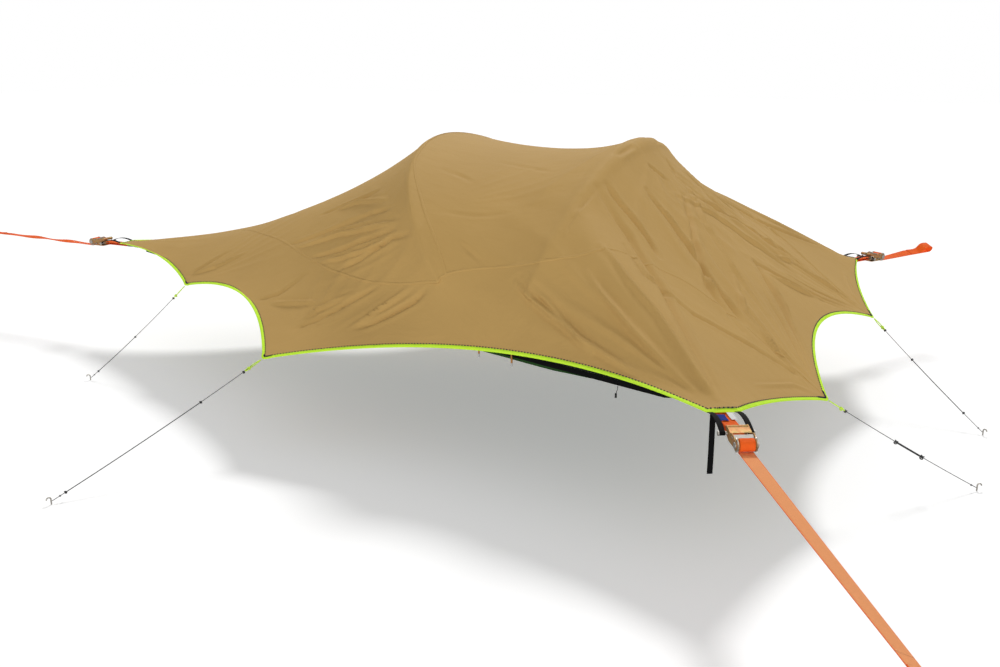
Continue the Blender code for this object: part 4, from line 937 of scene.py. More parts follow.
def length(name, description, default):
    """A length setting in metres."""
    return bpy.props.FloatProperty(
        name=name, description=description, unit="LENGTH", precision=4, min=0.0, default=default)


def strength(name, description, default):
    """The strength of a light."""
    return bpy.props.FloatProperty(name=name, description=description, min=0.0, default=default)


class TentFinishes(bpy.types.PropertyGroup):
    """Colours of the tent's cloths, webbing, cords and metals"""
    fly: colour("Fly", "Colour of the rain fly", (0.48, 0.303, 0.103))
    trim: colour("Trim", "Colour of the fly's binding and loops", (0.6, 1.0, 0.05))
    thread: colour("Thread", "Colour of the binding's stitches", (0.012, 0.014, 0.035))
    strap: colour("Tree straps", "Colour of the tree straps", (1.0, 0.135, 0.018))
    # The near long strap's face is the tree straps' orange made paler, as a painted highlight
    strap_face: colour("Near strap's face", "Colour of the near long strap's highlighted face", (1.0, 0.37, 0.15))
    webbing: colour("Webbing", "Colour of the corner webbing and edge band", (0.0025, 0.0025, 0.0028))
    floor: colour("Floor", "Colour of the floor cloth", (0.012, 0.05, 0.008))
    net: colour("Net", "Colour of the insect net", (0.014, 0.014, 0.015))
    guy: colour("Guy lines", "Colour of the guy lines", (0.1, 0.095, 0.1))
    elastic: colour("Elastic", "Colour of the guy lines' elastic parts", (0.012, 0.012, 0.013))
    plate: colour("Ratchets", "Colour of the ratchets' zinc plate", (0.36, 0.25, 0.1))
    steel: colour("Steel", "Colour of rings, bolts, spindles, pawls and pegs", (0.36, 0.34, 0.31))
    pole: colour("Poles", "Colour of the anodised poles", (0.42, 0.2, 0.06))
    pole_tip: colour("Pole tips", "Colour of the poles' bare ends", (0.5, 0.5, 0.5))
    blue_label: colour("Blue label", "Colour of the darker label", (0.001, 0.018, 0.2))
    white_label: colour("White label", "Colour of the paler label", (0.72, 0.72, 0.7))
    plastic: colour("Toggle", "Colour of the toggle", (0.015, 0.015, 0.016))


class TentSizes(bpy.types.PropertyGroup):
    """Sizes of what the solids leave to the dressed tent"""
    fly_cloth: length("Fly cloth", "Thickness of the fly", 0.0008)
    floor_cloth: length("Floor cloth", "Thickness of the floor", 0.0012)
    hem_cloth: length("Hem cloth", "Thickness of the floor's hem", 0.001)
    thin_cloth: length("Net and labels", "Thickness of the net and the labels", 0.0006)
    hem: length("Hem", "Height of the floor's turned down hem", 0.02)
    guy: length("Guy lines", "Diameter of the guy lines", 0.003)
    loop: length("Loops", "Diameter of the lime loops' cord", 0.0044)
    toggle_cord: length("Toggle cord", "Diameter of the toggle's cord", 0.0024)
    toggle_length: length("Toggle length", "Length of the toggle's cord", 0.03)
    tail: length("Loose end", "Length of the loose strap end", 0.21)
    stitch: length("Stitch", "Length of a stitch in the binding", 0.009)
    stitch_step: length("Stitch step", "Distance from stitch to stitch", 0.0145)


def size_of(name):
    """A size setting, without the noise that single precision adds to it."""
    return round(getattr(bpy.context.scene.tree_tent_sizes, name), 6)


class TentStage(bpy.types.PropertyGroup):
    """Camera, ground and lights"""
    lens: bpy.props.FloatProperty(
        name="Lens", description="Focal length of the camera in millimetres", default=37.33, min=10.0)
    ground: bpy.props.FloatProperty(name="Ground", description="Height of the ground", default=-0.55, unit="LENGTH")
    key: strength("Key light", "Strength of the soft sun that casts the shadow", 1.82)
    head_side: strength("Head side light", "Strength of the low sun from the near head side, without a shadow", 0.98)
    foot_side: strength("Foot side light", "Strength of the low sun from the near side, without a shadow", 0.68)
    fill: strength("Fill light", "Strength of the light from all sides", 0.35)


# The camera as solved from the photograph, and each sun's spread in degrees, its way and
# whether it casts a shadow
CAMERA_PLACE, CAMERA_TURN = (6.0875, -4.6748, 1.1941), (math.pi / 2 - 0.272457, 0.0, 0.453576)
SENSOR_WIDTH, VIEW_END, GROUND_HALF, GROUND_MIDDLE = 36.0, 100.0, 30.0, (3.0, 0.0)
SUNS = {
    "key": (12.0, (0.1, -0.5, -0.55), True),
    "head_side": (20.0, (-0.774, 0.964, -0.26), False),
    "foot_side": (20.0, (0.05, 1.015, -0.26), False),
}


class TENT_OT_stage(bpy.types.Operator):
    """Camera, ground, soft light and white surroundings"""
    bl_idname = "tree_tent.stage"
    bl_label = "Stage"

    def execute(self, context):
        settings = context.scene.tree_tent_stage
        camera = bpy.data.objects.new("camera", bpy.data.cameras.new("camera"))
        camera.data.lens = settings.lens
        camera.data.sensor_width = SENSOR_WIDTH
        camera.data.clip_end = VIEW_END
        camera.location = CAMERA_PLACE
        camera.rotation_euler = CAMERA_TURN
        context.scene.collection.objects.link(camera)
        context.scene.camera = camera
        context.scene.view_settings.view_transform = "Standard"

        corners = GROUND_HALF * np.array([[[x, y, 0.0] for x in (-1.0, 1.0)] for y in (1.0, -1.0)])
        ground = surface("ground", corners, np.zeros((2, 2, 2)), ground_finish("ground_white"),
                         shift=(*GROUND_MIDDLE, settings.ground))
        for name, (spread, way, casts_shadow) in SUNS.items():
            self.sun(context, name, getattr(settings, name), spread, way, casts_shadow)
        world = bpy.data.worlds.new("surroundings")
        world.use_nodes = True
        context.scene.world = world
        white_surroundings(world.node_tree, settings.fill)
        return {"FINISHED"}

    def sun(self, context, name, energy, spread, way, casts_shadow):
        """A sun that shines along a way."""
        lamp = bpy.data.lights.new(name, "SUN")
        lamp.energy, lamp.angle, lamp.use_shadow = energy, math.radians(spread), casts_shadow
        made = bpy.data.objects.new(name, lamp)
        made.rotation_euler = Vector(way).to_track_quat("-Z", "Y").to_euler()
        context.scene.collection.objects.link(made)


def white_surroundings(tree, fill):
    """White where the camera, gloss or glass sees it, and a plain light from all sides elsewhere."""
    made = Nodes(tree)
    white = made.node("ShaderNodeBackground", {}, {"Color": (1.0, 1.0, 1.0, 1.0), "Strength": 1.0})
    light = made.node("ShaderNodeBackground", {}, {"Color": (1.0, 1.0, 1.0, 1.0), "Strength": fill})
    seen = (made.ray("Camera") + made.ray("Glossy") + made.ray("Transmission")).limited()
    mixed = made.node("ShaderNodeMixShader", {}, {0: seen, 1: light, 2: white})
    made.feed(tree.nodes["World Output"].inputs["Surface"], mixed)


def ground_finish(name):
    """White ground: takes the shadow, with a little plain white for the camera's rays."""
    made = Finish(name, Base_Color=(0.93, 0.93, 0.93, 1.0), Roughness=1.0, Specular_IOR_Level=0.0)
    glow = made.node("ShaderNodeEmission", {}, {"Strength": made.ray("Camera") * 0.24})
    both = made.node("ShaderNodeAddShader", {}, {0: Amount(made, made.shader.outputs[0]), 1: glow})
    made.feed(made.tree.nodes["Material Output"].inputs["Surface"], both)
    return made.material


class TENT_OT_finishes(bpy.types.Operator):
    """All procedural materials, and those of the metal parts that stay as they are"""
    bl_idname = "tree_tent.finishes"
    bl_label = "Finishes"

    def execute(self, context):
        colours = context.scene.tree_tent_finishes
        FINISHES.update(
            fly=fly_finish("fly_cloth", rgb(colours.fly)),
            trim=tape_finish("lime_tape", rgb(colours.trim)),
            lime_cord=cord_finish("lime_cord", rgb(colours.trim)),
            thread=moulded_finish("navy_thread", rgb(colours.thread), 0.6),
            strap=webbing_finish("orange_webbing", rgb(colours.strap), STRAP_WIDTH),
            # A paler copy of the orange webbing with orange selvedges: a painted highlight on the near long strap's
            # face
            strap_face=webbing_finish("orange_webbing_face", rgb(colours.strap_face), STRAP_WIDTH,
                                      selvedge=rgb(colours.strap)),
            blue=moulded_finish("blue_label_cloth", rgb(colours.blue_label), 0.8),
            white=moulded_finish("white_label_cloth", rgb(colours.white_label), 0.7),
            black=webbing_finish("black_webbing", rgb(colours.webbing), STRAP_WIDTH, 0.75),
            narrow=webbing_finish("black_narrow_webbing", rgb(colours.webbing), NARROW, 0.75),
            floor=floor_finish("floor_cloth", rgb(colours.floor)),
            net=net_finish("net_cloth", rgb(colours.net)),
            guy=cord_finish("guy_cord", rgb(colours.guy)),
            guy_black=cord_finish("black_elastic", rgb(colours.elastic)),
            plate=zinc_finish("yellow_zinc", rgb(colours.plate)),
            steel=steel_finish("steel", rgb(colours.steel)),
            alloy=alloy_finish("pole_alloy", rgb(colours.pole), rgb(colours.pole_tip)),
            plastic=moulded_finish("black_plastic", rgb(colours.plastic)),
        )
        kinds = {"ratchet_frame": "plate", "ratchet_handle": "plate", "spindle": "steel", "drive_pawl": "steel",
                 "lock_pawl": "steel", "loop_bolt": "steel", "ring": "steel", "peg": "steel", "pole": "alloy"}
        for node, made in NODES.items():
            for ending, finish in kinds.items():
                if node.endswith(ending):
                    made.data.materials.clear()
                    made.data.materials.append(FINISHES[finish])
        return {"FINISHED"}


def smooth_route(points, steps):
    """A quadratic curve through three chosen points."""
    first, middle, last = (np.array(p) for p in points)
    share = even(steps)[:, None]
    control = 2 * middle - (first + last) / 2
    return first * (1 - share) ** 2 + 2 * control * share * (1 - share) + last * share ** 2


def cord_curve(name, path, radius, finish):
    """A free cord as one smooth curve with a round section."""
    curve = bpy.data.curves.new(name, "CURVE")
    curve.dimensions = "3D"
    curve.bevel_depth = radius
    curve.bevel_resolution = 3
    curve.use_fill_caps = True
    spline = curve.splines.new("POLY")
    spline.points.add(len(path) - 1)
    spline.points.foreach_set("co", np.hstack([path + APEX, np.ones((len(path), 1))]).ravel())
    curve.materials.append(finish)
    made = bpy.data.objects.new(name, curve)
    bpy.context.scene.collection.objects.link(made)
    return made


class TENT_OT_guys(bpy.types.Operator):
    """Six guy lines with their loops, elastic parts and knots, and the loose strap end"""
    bl_idname = "tree_tent.guys"
    bl_label = "Guy lines"

    def execute(self, context):
        for place, route in GUYS.items():
            for side in ("near", "far"):
                points = np.array(route) * (MIRROR if side == "far" else 1)
                self.guy(f"{side}_{place}", smooth_route(points, 60))
        self.tail()
        return {"FINISHED"}

    def guy(self, name, line):
        """A loop of cord at the fly, and the line that starts just inside its end."""
        start = int(np.searchsorted(lengths_along(line), LOOP_REACH))
        loop, thick = self.loop_path(line, start), size_of("loop")
        loop_cord = cord_curve(name + "_loop_cord", loop, thick / 2, FINISHES["lime_cord"])
        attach(loop_cord, "tent")
        loop[0] + APEX
        path, thick = line[start - 2:], size_of("guy")
        extras = self.hardware(name, path)
        path = path[np.round(np.linspace(0, len(path) - 1, 24)).astype(int)]
        made = cord_curve(name + "_guy_line", path, thick / 2, FINISHES["guy"])
        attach(made, "tent")
        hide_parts(name + "_guy")
        path[0] + APEX

    def hardware(self, name, path):
        """Two knots at the loop, a dark elastic part between two knots, and a knot at the peg."""
        run = lengths_along(path)
        share = run / run[-1]
        first, last, radius = SLEEVES[name]
        sleeve = read_off(np.linspace(first, last, 24), share, path)
        made = [round_bar(f"{name}_elastic", sleeve, radius, FINISHES["guy_black"], 8)]
        way = unit(path[-1] - path[0])
        knots = (("loop_knot", 0.015, 0.0024, "lime_cord"), ("loop_end", 0.045, 0.0020, "guy_black"),
                 ("fore_knot", first, 0.042 * radius ** 0.5, "guy_black"),
                 ("aft_knot", last, 0.0009 + 0.5 * radius, "guy_black"), ("peg_knot", 0.965, 0.0012, "guy"))
        for kind, spot, size, finish in knots:
            made.append(self.knot(f"{name}_{kind}", read_off(spot, share, path), way, size, FINISHES[finish]))
        for piece in made:
            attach(piece, "tent")
        return made

    def knot(self, name, centre, way, size, finish):
        """A trefoil of cord drawn tight round the line: (sin t + 2 sin 2t, cos t - 2 cos 2t) across
        it and -1.6 sin 3t along it."""
        turn = 2 * np.pi * np.arange(48) / 48
        side = unit(np.cross(way, UP))
        high = np.cross(side, way)
        parts = (np.sin(turn) + 2 * np.sin(2 * turn), np.cos(turn) - 2 * np.cos(2 * turn), -1.6 * np.sin(3 * turn))
        path = centre + size * sum(p[:, None] * w for p, w in zip(parts, (side, high, way)))
        return round_bar(name, path, 0.9 * size, finish, 7, True)

    def loop_path(self, line, start):
        """Out along the line on one side, round a half circle and back on the other side."""
        way = unit(line[start] - line[0])
        side = unit(np.cross(way, UP))
        reach = np.linalg.norm(line[start] - line[0]) - LOOP_HALF
        out = np.linspace(0, reach, 8)[:-1]
        spread = LOOP_HALF * np.clip(out / 0.03, 0.25, 1)
        legs = [(a, -s) for a, s in zip(out, spread)]
        turn = arc_points((reach, 0.0), LOOP_HALF, -math.pi / 2, math.pi / 2, 8)
        pairs = np.array(legs + turn + [(a, -s) for a, s in legs[::-1]])
        return line[0] + way * pairs[:, :1] + side * pairs[:, 1:]

    def tail(self):
        """The loose end hangs from under the near fly strap: down by its length times s, and out
        by 4 mm times s sin 3s."""
        (before, low), (x, z), (after, high) = fly_strap_pairs()[1:4]
        slope, thick, long = (high - low) / (after - before), 0.002, size_of("tail")
        top = z - THICK / 2 * math.hypot(1.0, slope) - thick / 2 * slope - GAP
        share = even(20)
        spots = (x + 0.004 * np.sin(3 * share) * share, np.full(len(share), -STRAP_SIDE), top - long * share)
        path = rig_points("near", np.stack(spots, -1))
        made = rig_band("strap_tail", "near", path, flat_profile(NARROW, thick), FINISHES["narrow"])
        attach(made, "tent")
        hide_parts("near_strap_tail")


class TENT_OT_fly(bpy.types.Operator):
    """The rain fly in three panels: before, between and behind the hoops"""
    bl_idname = "tree_tent.fly"
    bl_label = "Rain fly"

    def execute(self, context):
        columns = np.linspace(0, LAST_COLUMN, 2 * MIDDLE + 1)
        ends = (0, FOOT_ROW, HEAD_ROW, LAST_ROW)
        rows = np.concatenate([[0.0]] + [np.linspace(a, b, n + 1)[1:] for a, b, n in zip(ends, ends[1:], PANEL_ROWS)])
        points = folded(spread_over(stretched_fly(SOLVE_STEPS), SOLVE_STEPS, rows, columns), rows, columns)
        FLY.update(points=points, rows=rows, columns=columns, normals=grid_normals(points))
        across = run_across(points)
        across -= across[:, MIDDLE:MIDDLE + 1]
        along = lengths_along(points[:, MIDDLE])
        uv = np.stack([across, np.broadcast_to(along[:, None], across.shape)], -1)
        first = 0
        for name, count in zip(("fly_fore_panel", "fly_canopy", "fly_head_panel"), PANEL_ROWS):
            part = slice(first, first + count + 1)
            first += count
            made = surface(name, points[part], uv[part], FINISHES["fly"])
            self.keep_border_crisp(made.data, count + 1, len(columns))
            thicken(made, size_of("fly_cloth"))
            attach(made, "tent")
            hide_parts("rain_fly")
            area = cloth_area(points[part])
        return {"FINISHED"}

    def keep_border_crisp(self, mesh, rows, columns):
        """Marks the first and last row's edges as sharp, so that the panels' thin cut edges
        don't darken the cloth beside them."""
        ends = np.empty(2 * len(mesh.edges), np.int32)
        mesh.edges.foreach_get("vertices", ends)
        row = ends.reshape(-1, 2) // columns
        border = (row[:, 0] == row[:, 1]) & ((row[:, 0] == 0) | (row[:, 0] == rows - 1))
        mesh.edges.foreach_set("use_edge_sharp", border)


def cloth_area(points):
    """The area of a grid of quads, each as half the cross product of its diagonals."""
    down, up = points[1:, 1:] - points[:-1, :-1], points[1:, :-1] - points[:-1, 1:]
    return float(np.linalg.norm(np.cross(down, up), axis=-1).sum() / 2)


def fly_edge():
    """The fly's outline as one closed loop, with its outward direction, normal and tangent."""
    path, normal = (np.vstack([grid[:-1, 0], grid[-1, :-1], grid[:0:-1, -1], grid[0, :0:-1]])
                    for grid in (FLY["points"], FLY["normals"]))
    along = tangents(path, True)
    normal = unit(normal - along * np.sum(normal * along, axis=1, keepdims=True))
    out = np.cross(normal, -along)
    inner = FLY["points"][len(FLY["rows"]) // 2, MIDDLE]
    if np.mean(np.sum((path - inner) * out, axis=1)) < 0:
        out = -out
    for _ in range(2):
        out = unit(out + 0.5 * (np.roll(out, 1, 0) + np.roll(out, -1, 0)))
    return path, out, normal, along


# Binding and raised seams as (outward, up) profiles; where stitches and tacks lie on the
# binding, as (inward, up); how far and how often a tack's thread swings; and the bar tacks'
# grid places with their reach each way
BINDING = [(-0.0105, 0.0007), (-0.01, 0.0016), (-0.002, 0.0023), (0.003, 0.0022), (0.005, 0.0),
           (0.003, -0.0022), (-0.002, -0.0023), (-0.01, -0.0016), (-0.0105, -0.0007)]
RAISED_SEAM = [(-0.007, -0.0006), (-0.006, 0.0013), (-0.002, 0.0019),
               (0.002, 0.0019), (0.006, 0.0013), (0.007, -0.0006)]
STITCH_PLACE, STITCH_START, STITCH_WIDTH, STITCH_HEIGHT = (0.012, 0.0019), 0.003, 0.005, 0.003
TACK_PLACE, TACK_SWING, TACK_STEP, TACK_RADIUS = (0.0105, 0.0028), 0.0032, 0.0022, 0.0013
TACKS = (("fore", (5, 0), (0.035, 0.02)), ("aft", (12, 0), (0.02, 0.045)),
         ("corner", (26, 0.6), (0.03, 0.03)), ("head", (26, 5), (0.06, 0.05)))


class TENT_OT_binding(bpy.types.Operator):
    """Lime binding folded over the fly's edge, with its dark stitches and tacks, and the raised seams"""
    bl_idname = "tree_tent.binding"
    bl_label = "Binding and seams"

    def execute(self, context):
        path, out, normal, along = fly_edge()
        made = swept("fly_binding", path, out, normal, np.array(BINDING), FINISHES["trim"], True)
        weld(made)
        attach(made, "tent")
        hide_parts("fly_edge_trim")
        self.stitches(path, out, normal, along)
        for side, far in (("near", False), ("far", True)):
            for name, place, reach in TACKS:
                spot = on_fly("points", on_side([place], far))[0]
                self.bar_tack(f"{side}_{name}_tack", path, out, normal, spot, reach[::-1] if far else reach)
        for side, far in (("near", False), ("far", True)):
            self.seam(f"{side}_long_seam", on_side(LONG_SEAM, far))
        self.seam("foot_seam", FOOT_SEAM + [(17.0, 10.0)] + on_side(FOOT_SEAM, True)[::-1])
        return {"FINISHED"}

    def stitches(self, path, out, normal, along):
        """Dark stitches one step apart along the binding's inner edge."""
        run = lengths_along(closed_up(path))
        at = np.arange(STITCH_START, run[-1], size_of("stitch_step"))
        spot, side, high, way = (read_off(at, run, closed_up(a)) for a in (path, out, normal, along))
        spot = spot - unit(side) * STITCH_PLACE[0] + unit(high) * STITCH_PLACE[1]
        made = beads("binding_stitches", spot, unit(way), unit(high),
                     (size_of("stitch"), STITCH_WIDTH, STITCH_HEIGHT), FINISHES["thread"])
        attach(made, "tent")

    def bar_tack(self, name, path, out, normal, spot, reach):
        """A close zigzag of dark thread over the binding's inner edge, both ways from a tie."""
        nearest = int(np.argmin(np.linalg.norm(path - spot, axis=1)))
        order = np.roll(np.arange(len(path)), len(path) // 2 - nearest)
        run = lengths_along(path[order])
        run -= run[len(path) // 2]
        at = np.arange(-reach[0], reach[1], TACK_STEP)
        line, side, high = (read_off(at, run, a[order]) for a in (path, out, normal))
        swing = TACK_SWING * (-1.0) ** np.arange(len(at))
        line = line - unit(side) * (TACK_PLACE[0] - swing)[:, None] + unit(high) * TACK_PLACE[1]
        made = round_bar(name, line, TACK_RADIUS, FINISHES["thread"], 6)
        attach(made, "tent")

    def seam(self, name, places):
        """A raised seam along a line through grid places."""
        places = resampled(np.array(places), 0.06)
        line, high = on_fly("points", places), unit(on_fly("normals", places))
        side = unit(np.cross(high, tangents(line)))
        made = swept(name, line, side, high, np.array(RAISED_SEAM), FINISHES["fly"])
        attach(made, "tent")


def corner_cut(direction, point, setback):
    """Where a line through a point meets the cut across the near corner, set back from its ring."""
    return point + direction * ((np.dot(RINGS["near"] - point, NEAR_OUT) - setback) / np.dot(direction, NEAR_OUT))


def floor_outline(inset, setback, cells):
    """The floor's near long edge and its head edge, moved in by an inset and cut off at the
    corners. Both hang as parabolas, the head edge also bows in."""
    along = unit(RINGS["near"])
    square = np.array([-along[1], along[0], 0.0])
    start = square * inset
    apex = start + along * ((setback - start[0]) / along[0])
    first = corner_cut(along, start, setback)
    long_edge = apex + (first - apex) * even(cells)[:, None]
    share = np.clip((long_edge[:, 0] - apex[0]) / (first[0] - apex[0]), 0, 1)
    long_edge[:, 2] = -EDGE_SAG * 4 * share * (1 - share)
    head_line = np.array([LENGTH, 0.0, 0.0])
    down = np.array([0.0, -1.0, 0.0])
    full = corner_cut(down, head_line, SETBACK)[1] * (1 - 2 * even(cells))
    belly = 1 - (full / full[0]) ** 2
    spots = full.copy()
    spots[0] = corner_cut(down, head_line - np.array([inset, 0.0, 0.0]), setback)[1]
    spots[-1] = -spots[0]
    belly = np.interp(spots, full, belly)
    head = np.stack([LENGTH - inset - HEAD_BOW * belly, spots, -HEAD_SAG * belly], -1)
    return long_edge, head


def relaxed(grid, fixed, turns):
    """A stretched sheet: every free point moves to the mean of its four neighbours."""
    free = ~fixed[1:-1, 1:-1, None]
    for _ in range(turns):
        mean = (grid[2:, 1:-1] + grid[:-2, 1:-1] + grid[1:-1, 2:] + grid[1:-1, :-2]) / 4
        grid[1:-1, 1:-1] += free * (mean - grid[1:-1, 1:-1])
    return grid


# Cells along each edge of the floor cloth, its band and its hem, and the passes that stretch
# the floor cloth and the net
FLOOR_CELLS, BAND_CELLS, HEM_CELLS = 60, 80, 120
FLOOR_TURNS, NET_TURNS = 600, 1500
# How far the floor cloth and its hem stay inside the band's cut corners, how far below the
# band's middle the cloth lies, the place that the hem's lower edge leans towards, and how far
FLOOR_INSIDE, HEM_INSIDE, FLOOR_DROP, HEM_AIM, HEM_LEAN = 0.008, 0.012, 0.0008, (2.6, 0.0, 0.0), 0.0022
# Where the long hems' taper ends and how long it is, as shares, and the height left there
TAPER_END, TAPER_LONG, TAPER_LEAST = 0.955, 0.1, 0.12
# The toggle's start below the floor's edge, its cord's sway, and its barrel
TOGGLE_START, TOGGLE_SWAY, BARREL_LENGTH, BARREL_RADIUS = 0.012, 0.006, 0.016, 0.0042


class TENT_OT_floor(bpy.types.Operator):
    """Floor cloth with its turned down hem and toggle, and the black edge band"""
    bl_idname = "tree_tent.floor"
    bl_label = "Floor"

    def execute(self, context):
        inset = BAND_THICKNESS / 2 + GAP
        long_edge, head = floor_outline(inset, SETBACK + FLOOR_INSIDE, FLOOR_CELLS)
        grid, fixed = spanned(long_edge, np.vstack([long_edge[-1], head, long_edge[-1] * MIRROR]))
        grid = relaxed(grid, fixed, FLOOR_TURNS)
        down, over = (np.sin(np.pi * even(count - 1)) for count in grid.shape[:2])
        grid[:, :, 2] -= FLOOR_SAG * down[:, None] * over
        made = surface("floor_cloth_sheet", grid - UP * FLOOR_DROP, grid[..., :2], FINISHES["floor"])
        thicken(made, size_of("floor_cloth"))
        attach(made, "tent")
        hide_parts("floor_sheet")
        cloth_area(grid)
        self.band()
        self.hem(inset)
        self.toggle(floor_outline(inset, SETBACK, HEM_CELLS)[0])
        return {"FINISHED"}

    def band(self):
        """The black band along all three edges and across the cut corners."""
        long_edge, head = floor_outline(0.0, SETBACK, BAND_CELLS)
        path = np.vstack([long_edge[:-1], head[:-1], (long_edge * MIRROR)[::-1]])
        path = path[np.linalg.norm(path - np.roll(path, 1, 0), axis=1) > 1e-6]
        along = tangents(path, True)
        across = unit(np.cross(np.cross(along, UP), along))
        profile = flat_profile(BAND_HEIGHT, BAND_THICKNESS, 0.0012)
        made = swept("edge_band", path, across, np.cross(along, across), profile, FINISHES["black"], True)
        weld(made)
        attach(made, "tent")
        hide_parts("floor_edge_band")

    def hem(self, inset):
        """The floor cloth's turned down border, one strip on each side. It leans inwards by its
        drop times 1 + 0.5 sin(21 r) + 0.3 sin(37 r + 1), with r the run along the edge, and the
        long strips taper off before the head corners."""
        high = size_of("hem")
        long_edge, head = floor_outline(inset, SETBACK + HEM_INSIDE, HEM_CELLS)
        for name, edge in (("near_hem", long_edge), ("head_hem", head), ("far_hem", long_edge * MIRROR)):
            run = lengths_along(edge)[:, None, None]
            drop = even(6)[None, :, None]
            inward = unit(np.array(HEM_AIM) - edge)[:, None] * (1, 1, 0)
            wave = np.sin(run * 21.0) * 0.5 + np.sin(run * 37.0 + 1.0) * 0.3
            taken = run / run[-1] if name != "head_hem" else 0 * run
            deep = high * np.clip((TAPER_END - taken) / TAPER_LONG, TAPER_LEAST, 1.0)
            points = edge[:, None] - UP * (0.001 + deep * drop) + inward * (HEM_LEAN * drop * (1 + wave))
            uv = np.stack(np.broadcast_arrays(run[..., 0], high * drop[..., 0]), -1)
            made = surface(name, points, uv, FINISHES["floor"])
            thicken(made, size_of("hem_cloth"))
            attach(made, "tent")

    def toggle(self, edge):
        """A short black cord with a barrel toggle that hangs from the near hem. It sways in
        proportion to the square of the share along it."""
        top = edge[int(round(TOGGLE_SHARE * (len(edge) - 1)))] - UP * TOGGLE_START
        share, thick = even(15)[:, None], size_of("toggle_cord")
        path = top - UP * size_of("toggle_length") * share - np.array([1.0, 0.3, 0.0]) * TOGGLE_SWAY * share ** 2
        cord = round_bar("toggle_cord", path, thick / 2, FINISHES["guy_black"], 8)
        turn = np.linspace(0.0, 1.0, 9)[:, None]
        barrel = round_bar("toggle_barrel", path[-1] - UP * BARREL_LENGTH * turn, BARREL_RADIUS,
                           FINISHES["plastic"], 12)
        for made in (cord, barrel):
            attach(made, "tent")
        path[0] + APEX
        path + APEX


class TENT_OT_net(bpy.types.Operator):
    """Insect net hung inside the hoops"""
    bl_idname = "tree_tent.net"
    bl_label = "Insect net"

    def execute(self, context):
        long_edge, head = floor_outline(0.0, SETBACK, 10)
        start, end = LENGTH * NET_START, long_edge[-1, 0] - NET_CORNER
        foot, crown = LENGTH * FOOT_HOOP[0], LENGTH * HEAD_HOOP[0]
        stations = np.concatenate([start + (foot - start) * even(NET_FOOT_CELLS),
                                   foot + (crown - foot) * even(NET_MIDDLE_CELLS)[1:],
                                   crown + (end - crown) * even(NET_HEAD_CELLS)[1:]])
        near = read_off(stations, long_edge[:, 0], long_edge)
        spots = (head[0, 1] + NET_CORNER) * (1 - 2 * even(NET_WIDE_CELLS))
        head_edge = np.vstack([near[-1], read_off(spots, head[:, 1], head), near[-1] * MIRROR])
        for edge in (near, head_edge):
            edge[:, 2] += BAND_HEIGHT / 2 + GAP + 0.00075
        grid, fixed = spanned(near, head_edge)
        columns = len(head_edge)
        lay_on_hoops(grid, fixed, (NET_FOOT_CELLS, NET_FOOT_CELLS + NET_MIDDLE_CELLS), columns // 5, NET_HELD,
                     -POLE_RADIUS - NET_INSIDE_POLES)
        share = even(columns - 1)
        grid[0, :, 2] -= NET_DIP * 4 * share * (1 - share)
        grid = relaxed(grid, fixed, NET_TURNS)
        across, along = run_across(grid), lengths_along(grid[:, columns // 2])
        uv = np.stack([across, np.broadcast_to(along[:, None], across.shape)], -1)
        made = surface("net_canopy", grid, uv, FINISHES["net"])
        thicken(made, size_of("thin_cloth"))
        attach(made, "tent")
        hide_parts("insect_net")
        # The cut tapers to its ends, so the rectangle round it is 1.3 times its area
        area, wide = cloth_area(grid), float(across.max())
        return {"FINISHED"}


# Corner webbing

# A fly strap's start past the fly's corner, how far its curve is drawn up, and the angle at
# which it meets the bolt
FLY_STRAP_START, FLY_STRAP_RISE, FLY_STRAP_BEND = 0.009, 0.03, math.radians(60)


def fly_strap_pairs(steps=8):
    """From the fly's corner, bulging up, down to the bolt and a short way back under it."""
    wrap, bend = BOLT_RADIUS + GAP + THICK / 2, FLY_STRAP_BEND
    start = np.array([CORNER_HALF + FLY_STRAP_START + 2 * GAP, CORNER_HEIGHT])
    end = np.array([BOLT_REACH + wrap * math.cos(bend), wrap * math.sin(bend)])
    middle = (start + end) / 2 + np.array([0.0, FLY_STRAP_RISE])
    share = even(steps)[:, None]
    curve = start * (1 - share) ** 2 + 2 * middle * share * (1 - share) + end * share ** 2
    pairs = [tuple(p) for p in curve]
    pairs += arc_points((BOLT_REACH, 0.0), wrap, bend, -math.pi / 2, 12)[1:]
    return pairs + [(BOLT_REACH - NARROW, -wrap)]


# How high the labels lie, and each one's finish, its ends along the strap and its sides
LABEL_HEIGHT = 0.0098
LABELS = {
    "near_blue_label": ("blue", (0.082, 0.128), (-0.030, -0.003)),
    "near_white_label": ("white", (0.066, 0.122), (0.008, 0.030)),
}


